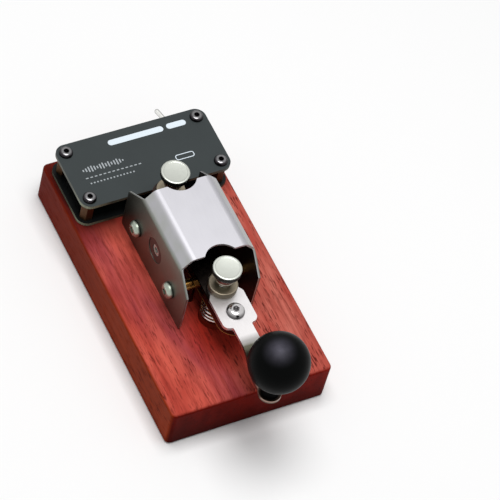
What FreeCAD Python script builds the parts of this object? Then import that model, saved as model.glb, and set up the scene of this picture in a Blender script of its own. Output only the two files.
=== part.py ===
import FreeCAD, Part
import math
import os
import re
import Sketcher

# Morse code practice key on a wooden base, in millimetres.
# Origin: on the face that the key rests on, midway across the base and a little
# behind its centre. +X across, +Y to the sound module at the rear, -Y to the
# ball knob at the front, +Z up.

Vector = FreeCAD.Vector
Rotation = FreeCAD.Rotation
Placement = FreeCAD.Placement

doc = FreeCAD.newDocument("MorsePracticeKey")

# Driving dimensions
DIMENSIONS = {
    # Wooden base and the mat under it
    "base_length": 128.5,
    "base_width": 70.5,
    "base_height": 19.9,
    "base_forward": 0.8,
    "base_corner_radius": 2.2,
    "base_edge_radius": 1.8,
    "base_bottom_chamfer": 0.3,
    "mat_thickness": 0.6,
    "mat_inset": 1.5,
    "counterbore_clearance": 0.55,
    "counterbore_depth": 4.5,
    "base_hole_radius": 1.7,
    # Fasteners
    "small_thread_radius": 1.5,
    "large_thread_radius": 2.0,
    "thread_clearance": 0.05,
    "face_clearance": 0.08,
    "washer_rim": 0.35,
    "washer_thickness": 0.5,
    "cap_head_radius": 2.75,
    "cap_head_height": 3.0,
    "cap_socket_flats": 2.5,
    "small_button_radius": 2.85,
    "small_button_height": 1.65,
    "small_socket_flats": 2.0,
    "socket_depth": 1.2,
    "thread_reach": 5.0,
    "bore_end_gap": 1.0,
    "screw_end_gap": 0.3,
    "head_rim": 0.3,
    # Sound module: two plates on four pillars
    "module_length": 67.0,
    "module_depth": 32.0,
    "module_setback": 2.45,
    "plate_thickness": 1.6,
    "plate_corner_radius": 4.5,
    "module_screw_margin": 4.2,
    "pillar_height": 10.0,
    "pillar_flats": 5.0,
    "buzzer_radius": 6.0,
    "buzzer_height": 8.5,
    "buzzer_port_radius": 1.0,
    "buzzer_port_depth": 2.0,
    "buzzer_edge_margin": 16.0,
    "lamp_radius": 1.5,
    "lamp_flange_radius": 1.9,
    "lamp_flange_height": 1.0,
    "lamp_body_height": 3.2,
    "lamp_edge_margin": 11.5,
    "lamp_front_margin": 4.5,
    "cell_radius": 8.0,
    "cell_thickness": 3.2,
    "cell_clearance": 0.15,
    "holder_wall": 0.9,
    "holder_floor": 0.8,
    "holder_side": 6.5,
    "holder_jack_gap": 0.9,
    "chip_length": 5.0,
    "chip_depth": 4.0,
    "chip_height": 1.5,
    "chip_holder_gap": 1.95,
    "chip_front_margin": 4.0,
    "jack_width": 6.4,
    "jack_depth": 12.0,
    "jack_height": 5.2,
    "jack_side": 1.1,
    "jack_barrel_radius": 2.5,
    "jack_barrel_length": 1.5,
    "jack_bore_radius": 1.8,
    "jack_bore_length": 12.5,
    "switch_width": 8.2,
    "switch_depth": 6.5,
    "switch_height": 6.4,
    "switch_edge_margin": 12.9,
    "switch_setback": 3.0,
    "switch_lift": 1.0,
    "bushing_radius": 2.5,
    "bushing_length": 4.5,
    "bushing_bore_radius": 2.0,
    "toggle_ball_radius": 1.3,
    "toggle_shank_radius": 0.85,
    "toggle_tip_radius": 1.0,
    "toggle_length": 10.4,
    "toggle_depth": 2.4,
    "toggle_lean": 14.0,
    # Bent steel cover
    "cover_width": 32.6,
    "cover_height": 34.5,
    "cover_top_width": 23.8,
    "cover_slope_height": 4.8,
    "cover_thickness": 1.0,
    "cover_bend_radius": 3.0,
    "wall_front": 28.5,
    "wall_rear": 26.4,
    "wall_edge_height": 21.0,
    "wall_corner_radius": 2.0,
    "top_front": 19.9,
    "top_rear": 15.4,
    "notch_radius": 7.5,
    "notch_depth": 3.7,
    "notch_corner_radius": 0.5,
    # Cross bars and the screws in their ends
    "front_bar_forward": 16.3,
    "rear_bar_back": 15.0,
    "bar_height": 11.0,
    "bar_radius": 2.4,
    "frame_bolt_side": 6.0,
    "side_head_radius": 3.6,
    "side_head_height": 2.4,
    "side_socket_flats": 2.5,
    "side_thread_length": 6.0,
    # Pivot
    "pivot_height": 16.5,
    "pivot_forward": 0.4,
    "bush_spigot_radius": 5.5,
    "bush_flange_radius": 7.0,
    "bush_flange_thickness": 2.2,
    "bush_fit": 0.02,
    "bush_recess": 0.3,
    "pivot_thread_radius": 2.5,
    "pivot_recess": 0.6,
    "pivot_pin_radius": 1.5,
    "pivot_pin_length": 3.5,
    "pivot_pin_end_gap": 0.4,
    "pivot_running_clearance": 0.05,
    "pivot_end_play": 0.15,
    "pivot_socket_flats": 2.5,
    "pivot_socket_depth": 2.4,
    "pivot_nut_flats": 8.0,
    "pivot_nut_thickness": 2.5,
    # Lever and knob arm
    "lever_width": 14.2,
    "lever_thickness": 5.0,
    "lever_edge": 0.3,
    "contact_forward": 27.2,
    "stop_back": 21.4,
    "arm_screw_forward": 39.5,
    "arm_thickness": 1.5,
    "arm_width": 14.8,
    "arm_neck_radius": 5.6,
    "arm_neck_forward": 28.4,
    "arm_shoulder_forward": 31.2,
    "arm_front_forward": 45.9,
    "arm_corner_radius": 2.6,
    "arm_root_radius": 1.0,
    "arm_hole_clearance": 0.15,
    "tongue_width": 8.0,
    "arm_eye_radius": 4.8,
    "arm_bend_forward": 57.0,
    "arm_bend_angle": 40.0,
    "arm_bend_radius": 8.0,
    "arm_drop": 7.0,
    "arm_button_radius": 3.75,
    "arm_button_height": 2.2,
    "arm_socket_flats": 2.5,
    # Knob
    "knob_forward": 73.7,
    "knob_radius": 12.25,
    "knob_height": 33.8,
    "collar_radius": 3.75,
    "insert_radius": 3.0,
    "insert_length": 9.0,
    "insert_margin": 0.6,
    "insert_fit": 0.02,
    "knob_head_radius": 3.6,
    "knob_head_height": 2.4,
    # Thumb screws, lock nuts and the posts they meet
    "thumb_radius": 5.95,
    "thumb_disc_thickness": 2.8,
    "thumb_neck_radius": 3.75,
    "thumb_head_height": 8.0,
    "thumb_thread_length": 16.0,
    "thumb_tip_radius": 1.2,
    "thumb_tip_height": 0.8,
    "thumb_edge_radius": 0.35,
    "locknut_radius": 6.0,
    "locknut_thickness": 3.0,
    "locknut_edge_radius": 0.3,
    "post_radius": 3.0,
    "post_height": 9.4,
    "contact_gap": 0.6,
    "rest_clearance": 0.06,
    "post_edge": 0.3,
    # Return spring and its seat
    "seat_radius": 6.4,
    "seat_thickness": 3.0,
    "seat_clearance": 0.1,
    "spring_radius": 5.8,
    "spring_wire_radius": 0.5,
    "spring_end_pitch": 1.5,
    "spring_clearance": 0.05,
    # Wires under the base
    "wire_radius": 0.7,
    "wire_roof_gap": 0.2,
    "groove_clearance": 0.9,
    "groove_bend_radius": 15.0,
    "riser_bend_radius": 4.2,
    "riser_rear": 40.0,
    "contact_wire_side": 12.0,
    "contact_turn_forward": 6.0,
    "contact_turn_back": 12.0,
    "lug_rim": 0.45,
    "lug_wall": 0.15,
    "lug_barrel_length": 4.0,
    "lug_head_gap": 0.15,
}
SPRING_END_TURNS = 1
SPRING_ACTIVE_TURNS = 3
SPRING_SAMPLES = 8
HALF_TURN = 180

sheet = doc.addObject("Spreadsheet::Sheet", "Sizes")
for row, (alias, value) in enumerate(DIMENSIONS.items(), start=1):
    sheet.set(f"A{row}", alias.replace("_", " "))
    sheet.set(f"B{row}", str(value))
    sheet.setAlias(f"B{row}", alias)
doc.recompute()

# Places that several pieces share, as expressions on the sheet
BASE_TOP = "(mat_thickness + base_height)"
BORE_ROOF = "(mat_thickness + counterbore_depth)"
SCREW_SEAT = f"({BORE_ROOF} - washer_thickness)"
MODULE_Y = "(base_length / 2 - base_forward - module_setback - module_depth / 2)"
MODULE_FRONT = f"({MODULE_Y} - module_depth / 2)"
MODULE_REAR = f"({MODULE_Y} + module_depth / 2)"
BOARD_TOP = f"({BASE_TOP} + plate_thickness)"
PLATE_BOTTOM = f"({BOARD_TOP} + pillar_height)"
COVER_INSIDE = "(cover_width / 2 - cover_thickness)"
PIVOT_Z = f"({BASE_TOP} + pivot_height)"
BAR_Z = f"({BASE_TOP} + bar_height)"
LEVER_TOP = f"({PIVOT_Z} + lever_thickness / 2)"
LEVER_BOTTOM = f"({PIVOT_Z} - lever_thickness / 2)"
ARM_TOP = f"({LEVER_TOP} + arm_thickness)"
TAB_TOP = f"({ARM_TOP} - arm_drop)"
KNOB_Z = f"({BASE_TOP} + knob_height)"
KNOB_FLAT = f"({KNOB_Z} - sqrt(knob_radius ^ 2 - collar_radius ^ 2))"
TIP_Z = f"({BASE_TOP} + post_height + contact_gap)"
SWITCH_Z = f"({BOARD_TOP} + switch_lift + switch_height / 2)"
SWITCH_X = "(module_length / 2 - switch_edge_margin)"
BUSHING_Y = f"({MODULE_REAR} - switch_setback)"
TOGGLE_Y = f"({BUSHING_Y} + bushing_length - toggle_depth)"
JACK_Z = f"({BOARD_TOP} + jack_height / 2)"
HOLDER_WIDTH = "(2 * (cell_radius + cell_clearance + holder_wall))"
HOLDER_Y = f"({MODULE_REAR} - jack_depth - holder_jack_gap - {HOLDER_WIDTH} / 2)"

X_AXIS = Vector(1, 0, 0)
Y_AXIS = Vector(0, 1, 0)
NEAR = 1e-4
START_RADIUS = 10.0  # where the points of a sketch stand before they are held

nodes = []


def bound(text):
    """Write an expression's size names as cells of the sheet."""
    return re.sub(r"\b([a-z]+(?:_[a-z]+)+)\b", r"Sizes.\1", str(text))


def bind(thing, prop, text):
    thing.setExpression(prop, bound(text))


def size(alias):
    return float(sheet.get(alias))


def place(thing, x=0, y=0, z=0, axis=X_AXIS, angle=0):
    """Turn a piece about an axis through its own origin, then move it."""
    thing.Placement = Placement(Vector(), Rotation(axis, angle))
    for letter, text in (("x", x), ("y", y), ("z", z)):
        bind(thing, f".Placement.Base.{letter}", text)
    return thing


def keep(thing, node):
    """Name a finished piece; its label names its file."""
    thing.Label = node
    nodes.append(thing)
    return thing


# Sketches

def new_body(name):
    return doc.addObject("PartDesign::Body", name)


def new_sketch(body, role, offset=None):
    sketch = body.newObject("Sketcher::SketchObject", "Sketch")
    plane = [item for item in body.Origin.OriginFeatures if item.Role == role][0]
    sketch.AttachmentSupport = (plane, [""])
    sketch.MapMode = "FlatFace"
    if offset is not None:
        bind(sketch, ".AttachmentOffset.Base.z", offset)
    return sketch


def fix_point(sketch, geometry, point, x, y):
    """Hold one point of a sketch at two expressions."""
    for kind, text in (("DistanceX", x), ("DistanceY", y)):
        index = sketch.addConstraint(Sketcher.Constraint(kind, -1, 1, geometry, point, 1.0))
        bind(sketch, f"Constraints[{index}]", text)


def add_polygon(sketch, points):
    """Closed outline; each corner is held by two expressions."""
    count = len(points)
    first = sketch.GeometryCount
    for index in range(count):
        start = 2 * math.pi * index / count
        end = 2 * math.pi * (index + 1) / count
        line = Part.LineSegment(
            Vector(START_RADIUS * math.cos(start), START_RADIUS * math.sin(start), 0),
            Vector(START_RADIUS * math.cos(end), START_RADIUS * math.sin(end), 0),
        )
        sketch.addGeometry(line, False)
    for index in range(count):
        following = first + (index + 1) % count
        sketch.addConstraint(Sketcher.Constraint("Coincident", first + index, 2, following, 1))
    for index, (x, y) in enumerate(points):
        fix_point(sketch, first + index, 1, x, y)


def add_circle(sketch, x, y, radius):
    index = sketch.addGeometry(Part.Circle(Vector(0, 0, 0), Vector(0, 0, 1), 1.0), False)
    fix_point(sketch, index, 3, x, y)
    constraint = sketch.addConstraint(Sketcher.Constraint("Radius", index, 1.0))
    bind(sketch, f"Constraints[{constraint}]", radius)


def rectangle(width, depth, x="0", y="0"):
    """Corners of a rectangle with its centre at x, y."""
    return [
        (f"{x} + {side_x} * ({width}) / 2", f"{y} + {side_y} * ({depth}) / 2")
        for side_x, side_y in ((-1, -1), (1, -1), (1, 1), (-1, 1))
    ]


def hexagon(flats):
    return [
        (f"({flats}) / 2 / cos(30) * cos({60 * corner})", f"({flats}) / 2 / cos(30) * sin({60 * corner})")
        for corner in range(6)
    ]


# Features of a body

def pad(body, sketch, length, symmetric=False):
    feature = body.newObject("PartDesign::Pad", "Pad")
    feature.Profile = sketch
    bind(feature, "Length", length)
    if symmetric:
        feature.SideType = "Symmetric"
    doc.recompute()
    return feature


def pocket(body, sketch, length=None, upward=False, symmetric=False):
    """Cut a sketch out of a body; no length means all the way through."""
    before = body.Shape.Volume
    feature = body.newObject("PartDesign::Pocket", "Pocket")
    feature.Profile = sketch
    if length is None:
        feature.Type = "ThroughAll"
    else:
        bind(feature, "Length", length)
    feature.Reversed = upward
    if symmetric:
        feature.SideType = "Symmetric"
    doc.recompute()
    if body.Shape.Volume >= before - NEAR:
        raise RuntimeError(f"a pocket of {body.Name} cuts nothing")
    return feature


def revolve(body, points):
    """Turn an outline of radius and height about the body's own Z axis."""
    sketch = new_sketch(body, "XZ_Plane")
    add_polygon(sketch, points)
    feature = body.newObject("PartDesign::Revolution", "Revolution")
    feature.Profile = sketch
    feature.ReferenceAxis = (sketch, ["V_Axis"])
    feature.Angle = 360
    doc.recompute()
    return feature


def edges_where(body, test):
    """Names of the edges of a body's own shape that a test picks."""
    picked = []
    for index, edge in enumerate(body.Tip.Shape.Edges, start=1):
        if test(edge):
            picked.append(f"Edge{index}")
    if not picked:
        raise RuntimeError(f"no edge of {body.Name} was picked")
    return picked


def soften(body, test, radius, kind="Fillet"):
    base = body.Tip
    picked = edges_where(body, test)
    feature = body.newObject(f"PartDesign::{kind}", kind)
    feature.Base = (base, picked)
    bind(feature, "Radius" if kind == "Fillet" else "Size", radius)
    doc.recompute()
    return feature


def upright(edge):
    box = edge.BoundBox
    return box.ZLength > NEAR and box.XLength < NEAR and box.YLength < NEAR


def lies_at(edge, height):
    box = edge.BoundBox
    return abs(box.ZMin - height) < NEAR and abs(box.ZMax - height) < NEAR


def runs_through(edge, letters, corners):
    """True for a straight edge that is a point in the plane of two letters."""
    box = edge.BoundBox
    for corner in corners:
        lows = [abs(getattr(box, f"{letter}Min") - value) for letter, value in zip(letters, corner)]
        highs = [abs(getattr(box, f"{letter}Max") - value) for letter, value in zip(letters, corner)]
        if max(lows + highs) < NEAR * 10:
            return True
    return False


# Primitives

def cylinder(name, radius, height, x=0, y=0, z=0, axis=X_AXIS, angle=0):
    solid = doc.addObject("Part::Cylinder", name)
    bind(solid, "Radius", radius)
    bind(solid, "Height", height)
    return place(solid, x, y, z, axis, angle)


def block(name, width, depth, height, x=0, y=0, z=0):
    """Box with the centre of its lower face at x, y, z."""
    solid = doc.addObject("Part::Box", name)
    bind(solid, "Length", width)
    bind(solid, "Width", depth)
    bind(solid, "Height", height)
    return place(solid, f"{x} - ({width}) / 2", f"{y} - ({depth}) / 2", z)


def prism(name, flats, height, x=0, y=0, z=0, axis=X_AXIS, angle=0):
    solid = doc.addObject("Part::Prism", name)
    solid.Polygon = 6
    bind(solid, "Circumradius", f"({flats}) / 2 / cos(30)")
    bind(solid, "Height", height)
    return place(solid, x, y, z, axis, angle)


def fuse(name, solids):
    whole = doc.addObject("Part::MultiFuse", name)
    whole.Shapes = solids
    whole.Refine = True
    return whole


def cut(name, base, tools):
    """Take tools out of a base; several tools are joined first."""
    tool = tools[0] if len(tools) == 1 else fuse(f"{name}_tools", tools)
    result = doc.addObject("Part::Cut", name)
    result.Base = base
    result.Tool = tool
    return result


def copies(name, master, places):
    """Separate copies of one piece, kept together as a group."""
    links = []
    for index, spot in enumerate(places, start=1):
        link = doc.addObject("App::Link", f"{name}_{index}")
        link.LinkedObject = master
        place(link, *spot)
        links.append(link)
    group = doc.addObject("Part::Compound", name)
    group.Links = links
    return group


# Fasteners: head above Z = 0, shank below it

def screw(name, head_radius, head_height, shank_radius, shank_length, flats, dome=None):
    body = new_body(name)
    revolve(body, [
        ("0", f"-({shank_length})"),
        (shank_radius, f"-({shank_length})"),
        (shank_radius, "0"),
        (head_radius, "0"),
        (head_radius, head_height),
        ("0", head_height),
    ])
    if dome is not None:
        top = size(head_height)
        soften(body, lambda edge: lies_at(edge, top), dome)
    socket = new_sketch(body, "XY_Plane", head_height)
    add_polygon(socket, hexagon(flats))
    pocket(body, socket, "socket_depth")
    return body


def ring(name, outer, inner, height, x=0, y=0, z=0):
    return cut(
        name,
        cylinder(f"{name}_outside", outer, height, x, y, z),
        [cylinder(f"{name}_hole", inner, height, x, y, z)],
    )


# Where the screws stand in the base
MODULE_CORNERS = [
    (f"{side_x} * (module_length / 2 - module_screw_margin)",
     f"{MODULE_Y} + {side_y} * (module_depth / 2 - module_screw_margin)")
    for side_x in (-1, 1) for side_y in (-1, 1)
]
FRAME_BOLTS = [
    (f"{side_x} * frame_bolt_side", y)
    for y in ("-front_bar_forward", "rear_bar_back") for side_x in (-1, 1)
]
POSTS = [("0", "-contact_forward"), ("0", "stop_back")]
LUG_ON_FRAME = FRAME_BOLTS[2]
LUG_ON_CONTACT = POSTS[0]

# Routes of the two wires under the base, from a lug to a hole up to the board
RISERS = [("contact_wire_side", "riser_rear"), ("-frame_bolt_side", "riser_rear")]
CONTACT_ROUTE = [
    LUG_ON_CONTACT,
    ("0", "-contact_turn_forward"),
    ("contact_wire_side", "contact_turn_back"),
    RISERS[0],
]
FRAME_ROUTE = [LUG_ON_FRAME, RISERS[1]]
RISER_RADIUS = "(riser_bend_radius - wire_roof_gap)"


# Wooden base

def make_base_block():
    body = new_body("BaseBlock")
    place(body, z="mat_thickness")
    outline = new_sketch(body, "XY_Plane")
    add_polygon(outline, rectangle("base_width", "base_length", y="-base_forward"))
    pad(body, outline, "base_height")
    soften(body, upright, "base_corner_radius")
    top = size("base_height")
    soften(body, lambda edge: lies_at(edge, top), "base_edge_radius")
    soften(body, lambda edge: lies_at(edge, 0), "base_bottom_chamfer", "Chamfer")

    holes = new_sketch(body, "XY_Plane")
    for x, y in MODULE_CORNERS + FRAME_BOLTS + POSTS:
        add_circle(holes, x, y, "base_hole_radius")
    for x, y in RISERS:
        add_circle(holes, x, y, RISER_RADIUS)
    pocket(body, holes, upward=True)

    counterbores = new_sketch(body, "XY_Plane")
    for x, y in MODULE_CORNERS + FRAME_BOLTS + POSTS:
        add_circle(counterbores, x, y, "cap_head_radius + counterbore_clearance")
    pocket(body, counterbores, "counterbore_depth", upward=True)

    for route in (CONTACT_ROUTE, FRAME_ROUTE):
        groove = new_sketch(body, "XY_Plane")
        half = "(wire_radius + groove_clearance)"
        add_polygon(groove, [(f"{x} - {half}", y) for x, y in route]
                    + [(f"{x} + {half}", y) for x, y in reversed(route)])
        pocket(body, groove, "counterbore_depth", upward=True)
    keep(body, "base_block")


def make_base_mat():
    body = new_body("BaseMat")
    outline = new_sketch(body, "XY_Plane")
    width = "(base_width - 2 * mat_inset)"
    add_polygon(outline, rectangle(width, "base_length - 2 * mat_inset", y="-base_forward"))
    pad(body, outline, "mat_thickness")
    soften(body, upright, "base_corner_radius")
    keep(body, "base_mat")


def make_base_screws():
    """Screws from the underside, each on a washer or on a wire's lug."""
    wood = "(base_height - counterbore_depth + washer_thickness)"
    lengths = (
        ("module_base_screws", f"{wood} + plate_thickness + thread_reach", MODULE_CORNERS),
        ("frame_bolts", f"{wood} + bar_height + bar_radius - screw_end_gap", FRAME_BOLTS),
        ("post_screws", f"{wood} + thread_reach", POSTS),
    )
    for name, length, spots in lengths:
        master = screw(f"{name}_master", "cap_head_radius", "cap_head_height",
                       "small_thread_radius", length, "cap_socket_flats")
        places = [(x, y, SCREW_SEAT, X_AXIS, HALF_TURN) for x, y in spots]
        keep(copies(name, master, places), name)
    washer = ring("washer_master", "cap_head_radius + washer_rim",
                  "small_thread_radius + thread_clearance", "washer_thickness")
    plain = [spot for spot in MODULE_CORNERS + FRAME_BOLTS + POSTS
             if spot not in (LUG_ON_FRAME, LUG_ON_CONTACT)]
    keep(copies("base_washers", washer, [(x, y, SCREW_SEAT) for x, y in plain]), "base_washers")


def make_wire_lugs():
    """Ring lugs; the barrel of each points along its own +Y."""
    eye = ring("lug_eye", "cap_head_radius + lug_rim", "small_thread_radius + thread_clearance",
               "washer_thickness")
    barrel = cylinder("lug_barrel", "wire_radius + lug_wall", "lug_barrel_length", 0,
                      "cap_head_radius + lug_head_gap",
                      "washer_thickness - wire_roof_gap - wire_radius", X_AXIS, -90)
    master = fuse("lug_master", [eye, barrel])
    places = [(x, y, SCREW_SEAT) for x, y in (LUG_ON_CONTACT, LUG_ON_FRAME)]
    keep(copies("wire_lugs", master, places), "wire_lugs")


def wire_tube(name, corners, bends, wire_radius):
    """Round wire along straight runs joined by tangent arcs, one for each bend."""
    edges = []
    start = corners[0]
    for index, bend_radius in enumerate(bends, start=1):
        corner = corners[index]
        back = (corners[index - 1] - corner).normalize()
        ahead = (corners[index + 1] - corner).normalize()
        turn = math.pi - back.getAngle(ahead)
        reach = bend_radius * math.tan(turn / 2)
        first = corner + back * reach
        last = corner + ahead * reach
        toward = (back + ahead).normalize()
        centre = corner + toward * (bend_radius / math.cos(turn / 2))
        edges.append(Part.LineSegment(start, first).toShape())
        edges.append(Part.Arc(first, centre - toward * bend_radius, last).toShape())
        start = last
    edges.append(Part.LineSegment(start, corners[-1]).toShape())
    path = Part.Wire(edges)
    along = edges[0].tangentAt(edges[0].FirstParameter)
    section = Part.Wire([Part.Circle(corners[0], along, wire_radius).toShape()])
    tube = path.makePipeShell([section], True, False)
    expected = math.pi * wire_radius ** 2 * path.Length
    print(f"{name}: length {path.Length:.1f} mm, bend radii {bends}, "
          f"volume {tube.Volume:.1f} of {expected:.1f}")
    return tube


def make_wires():
    """Two wires, from the lugs along the grooves and up to the board."""
    roof = size("mat_thickness") + size("counterbore_depth")
    level = roof - size("wire_roof_gap") - size("wire_radius")
    top = size("mat_thickness") + size("base_height")
    barrel_end = size("cap_head_radius") + size("lug_head_gap") + size("lug_barrel_length")
    side = size("contact_wire_side")
    rear = size("riser_rear")
    frame_x = -size("frame_bolt_side")
    routes = {
        "contact_wire": (
            [
                Vector(0, barrel_end - size("contact_forward"), level),
                Vector(0, -size("contact_turn_forward"), level),
                Vector(side, size("contact_turn_back"), level),
                Vector(side, rear, level),
                Vector(side, rear, top),
            ],
            [size("groove_bend_radius"), size("groove_bend_radius"), size("riser_bend_radius")],
        ),
        "frame_wire": (
            [
                Vector(frame_x, barrel_end + size("rear_bar_back"), level),
                Vector(frame_x, rear, level),
                Vector(frame_x, rear, top),
            ],
            [size("riser_bend_radius")],
        ),
    }
    for name, (corners, bends) in routes.items():
        feature = doc.addObject("Part::Feature", name)
        feature.Shape = wire_tube(name, corners, bends, size("wire_radius"))
        keep(feature, name)


# Sound module

def make_plate(name, height):
    body = new_body(name)
    place(body, y=MODULE_Y, z=height)
    outline = new_sketch(body, "XY_Plane")
    add_polygon(outline, rectangle("module_length", "module_depth"))
    pad(body, outline, "plate_thickness")
    soften(body, upright, "plate_corner_radius")
    holes = new_sketch(body, "XY_Plane")
    for side_x in (-1, 1):
        for side_y in (-1, 1):
            add_circle(
                holes,
                f"{side_x} * (module_length / 2 - module_screw_margin)",
                f"{side_y} * (module_depth / 2 - module_screw_margin)",
                "small_thread_radius + thread_clearance",
            )
    pocket(body, holes, upward=True)
    keep(body, name)


def make_pillars_and_screws():
    pillar = cut(
        "pillar_master",
        prism("pillar_outside", "pillar_flats", "pillar_height"),
        [cylinder("pillar_bore", "small_thread_radius + thread_clearance", "pillar_height")],
    )
    keep(copies("module_pillars", pillar, [(x, y, BOARD_TOP) for x, y in MODULE_CORNERS]),
         "module_pillars")
    button = screw("top_screw_master", "small_button_radius", "small_button_height",
                   "small_thread_radius", "plate_thickness + thread_reach - bore_end_gap",
                   "small_socket_flats", "small_button_height - head_rim")
    seat = f"{PLATE_BOTTOM} + plate_thickness"
    keep(copies("module_top_screws", button, [(x, y, seat) for x, y in MODULE_CORNERS]),
         "module_top_screws")


def make_buzzer():
    x = "-(module_length / 2 - buzzer_edge_margin)"
    can = cylinder("buzzer_can", "buzzer_radius", "buzzer_height", x, MODULE_Y, BOARD_TOP)
    port = cylinder("buzzer_port", "buzzer_port_radius", "buzzer_port_depth", x, MODULE_Y,
                    f"{BOARD_TOP} + buzzer_height - buzzer_port_depth")
    keep(cut("buzzer", can, [port]), "buzzer")


def make_signal_lamp():
    x = "module_length / 2 - lamp_edge_margin"
    y = f"{MODULE_FRONT} + lamp_front_margin"
    flange = cylinder("lamp_flange", "lamp_flange_radius", "lamp_flange_height", x, y, BOARD_TOP)
    stem = cylinder("lamp_stem", "lamp_radius", "lamp_body_height", x, y, BOARD_TOP)
    dome = doc.addObject("Part::Sphere", "lamp_dome")
    bind(dome, "Radius", "lamp_radius")
    place(dome, x, y, f"{BOARD_TOP} + lamp_body_height")
    keep(fuse("signal_lamp", [flange, stem, dome]), "signal_lamp")


def make_cell_and_holder():
    floor = f"{BOARD_TOP} + holder_floor"
    body = block("holder_block", HOLDER_WIDTH, HOLDER_WIDTH, "holder_floor + cell_thickness",
                 "holder_side", HOLDER_Y, BOARD_TOP)
    well = cylinder("holder_well", "cell_radius + cell_clearance", "cell_thickness",
                    "holder_side", HOLDER_Y, floor)
    keep(cut("cell_holder", body, [well]), "cell_holder")
    cell = cylinder("coin_cell", "cell_radius", "cell_thickness - cell_clearance",
                    "holder_side", HOLDER_Y, floor)
    keep(cell, "coin_cell")


def make_driver_chip():
    x = f"holder_side - {HOLDER_WIDTH} / 2 - chip_holder_gap - chip_length / 2"
    chip = block("driver_chip", "chip_length", "chip_depth", "chip_height", x,
                 f"{MODULE_FRONT} + chip_front_margin", BOARD_TOP)
    keep(chip, "driver_chip")


def make_audio_jack():
    """Socket for a 3.5 mm plug; its barrel stands out behind the board."""
    mouth = f"({MODULE_REAR} + jack_barrel_length)"
    body = block("jack_body", "jack_width", "jack_depth", "jack_height", "jack_side",
                 f"{MODULE_REAR} - jack_depth / 2", BOARD_TOP)
    barrel = cylinder("jack_barrel", "jack_barrel_radius", "jack_depth / 2 + jack_barrel_length",
                      "jack_side", mouth, JACK_Z, X_AXIS, 90)
    bore = cylinder("jack_bore", "jack_bore_radius", "jack_bore_length", "jack_side", mouth,
                    JACK_Z, X_AXIS, 90)
    keep(cut("audio_jack", fuse("jack_whole", [body, barrel]), [bore]), "audio_jack")


def make_power_switch():
    body = block("switch_body", "switch_width", "switch_depth", "switch_lift + switch_height",
                 SWITCH_X, f"{BUSHING_Y} - switch_depth / 2", BOARD_TOP)
    keep(body, "switch_body")
    tube = cylinder("bushing_tube", "bushing_radius", "bushing_length", SWITCH_X,
                    f"{BUSHING_Y} + bushing_length", SWITCH_Z, X_AXIS, 90)
    bore = cylinder("bushing_bore", "bushing_bore_radius", "bushing_length", SWITCH_X,
                    f"{BUSHING_Y} + bushing_length", SWITCH_Z, X_AXIS, 90)
    keep(cut("switch_bushing", tube, [bore]), "switch_bushing")

    # The toggle leans to -X at rest and swings as far to +X.
    ball = doc.addObject("Part::Sphere", "toggle_ball")
    bind(ball, "Radius", "toggle_ball_radius")
    shank = doc.addObject("Part::Cone", "toggle_shank")
    bind(shank, "Radius1", "toggle_shank_radius")
    bind(shank, "Radius2", "toggle_tip_radius")
    bind(shank, "Height", "toggle_length - toggle_tip_radius")
    tip = doc.addObject("Part::Sphere", "toggle_tip")
    bind(tip, "Radius", "toggle_tip_radius")
    place(tip, z="toggle_length - toggle_tip_radius")
    toggle = fuse("switch_toggle", [ball, shank, tip])
    turn = Rotation(Vector(0, 0, 1), size("toggle_lean")).multiply(Rotation(X_AXIS, -90))
    place(toggle, SWITCH_X, TOGGLE_Y, SWITCH_Z, turn.Axis, math.degrees(turn.Angle))
    keep(toggle, "switch_toggle")


# Steel cover

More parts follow.
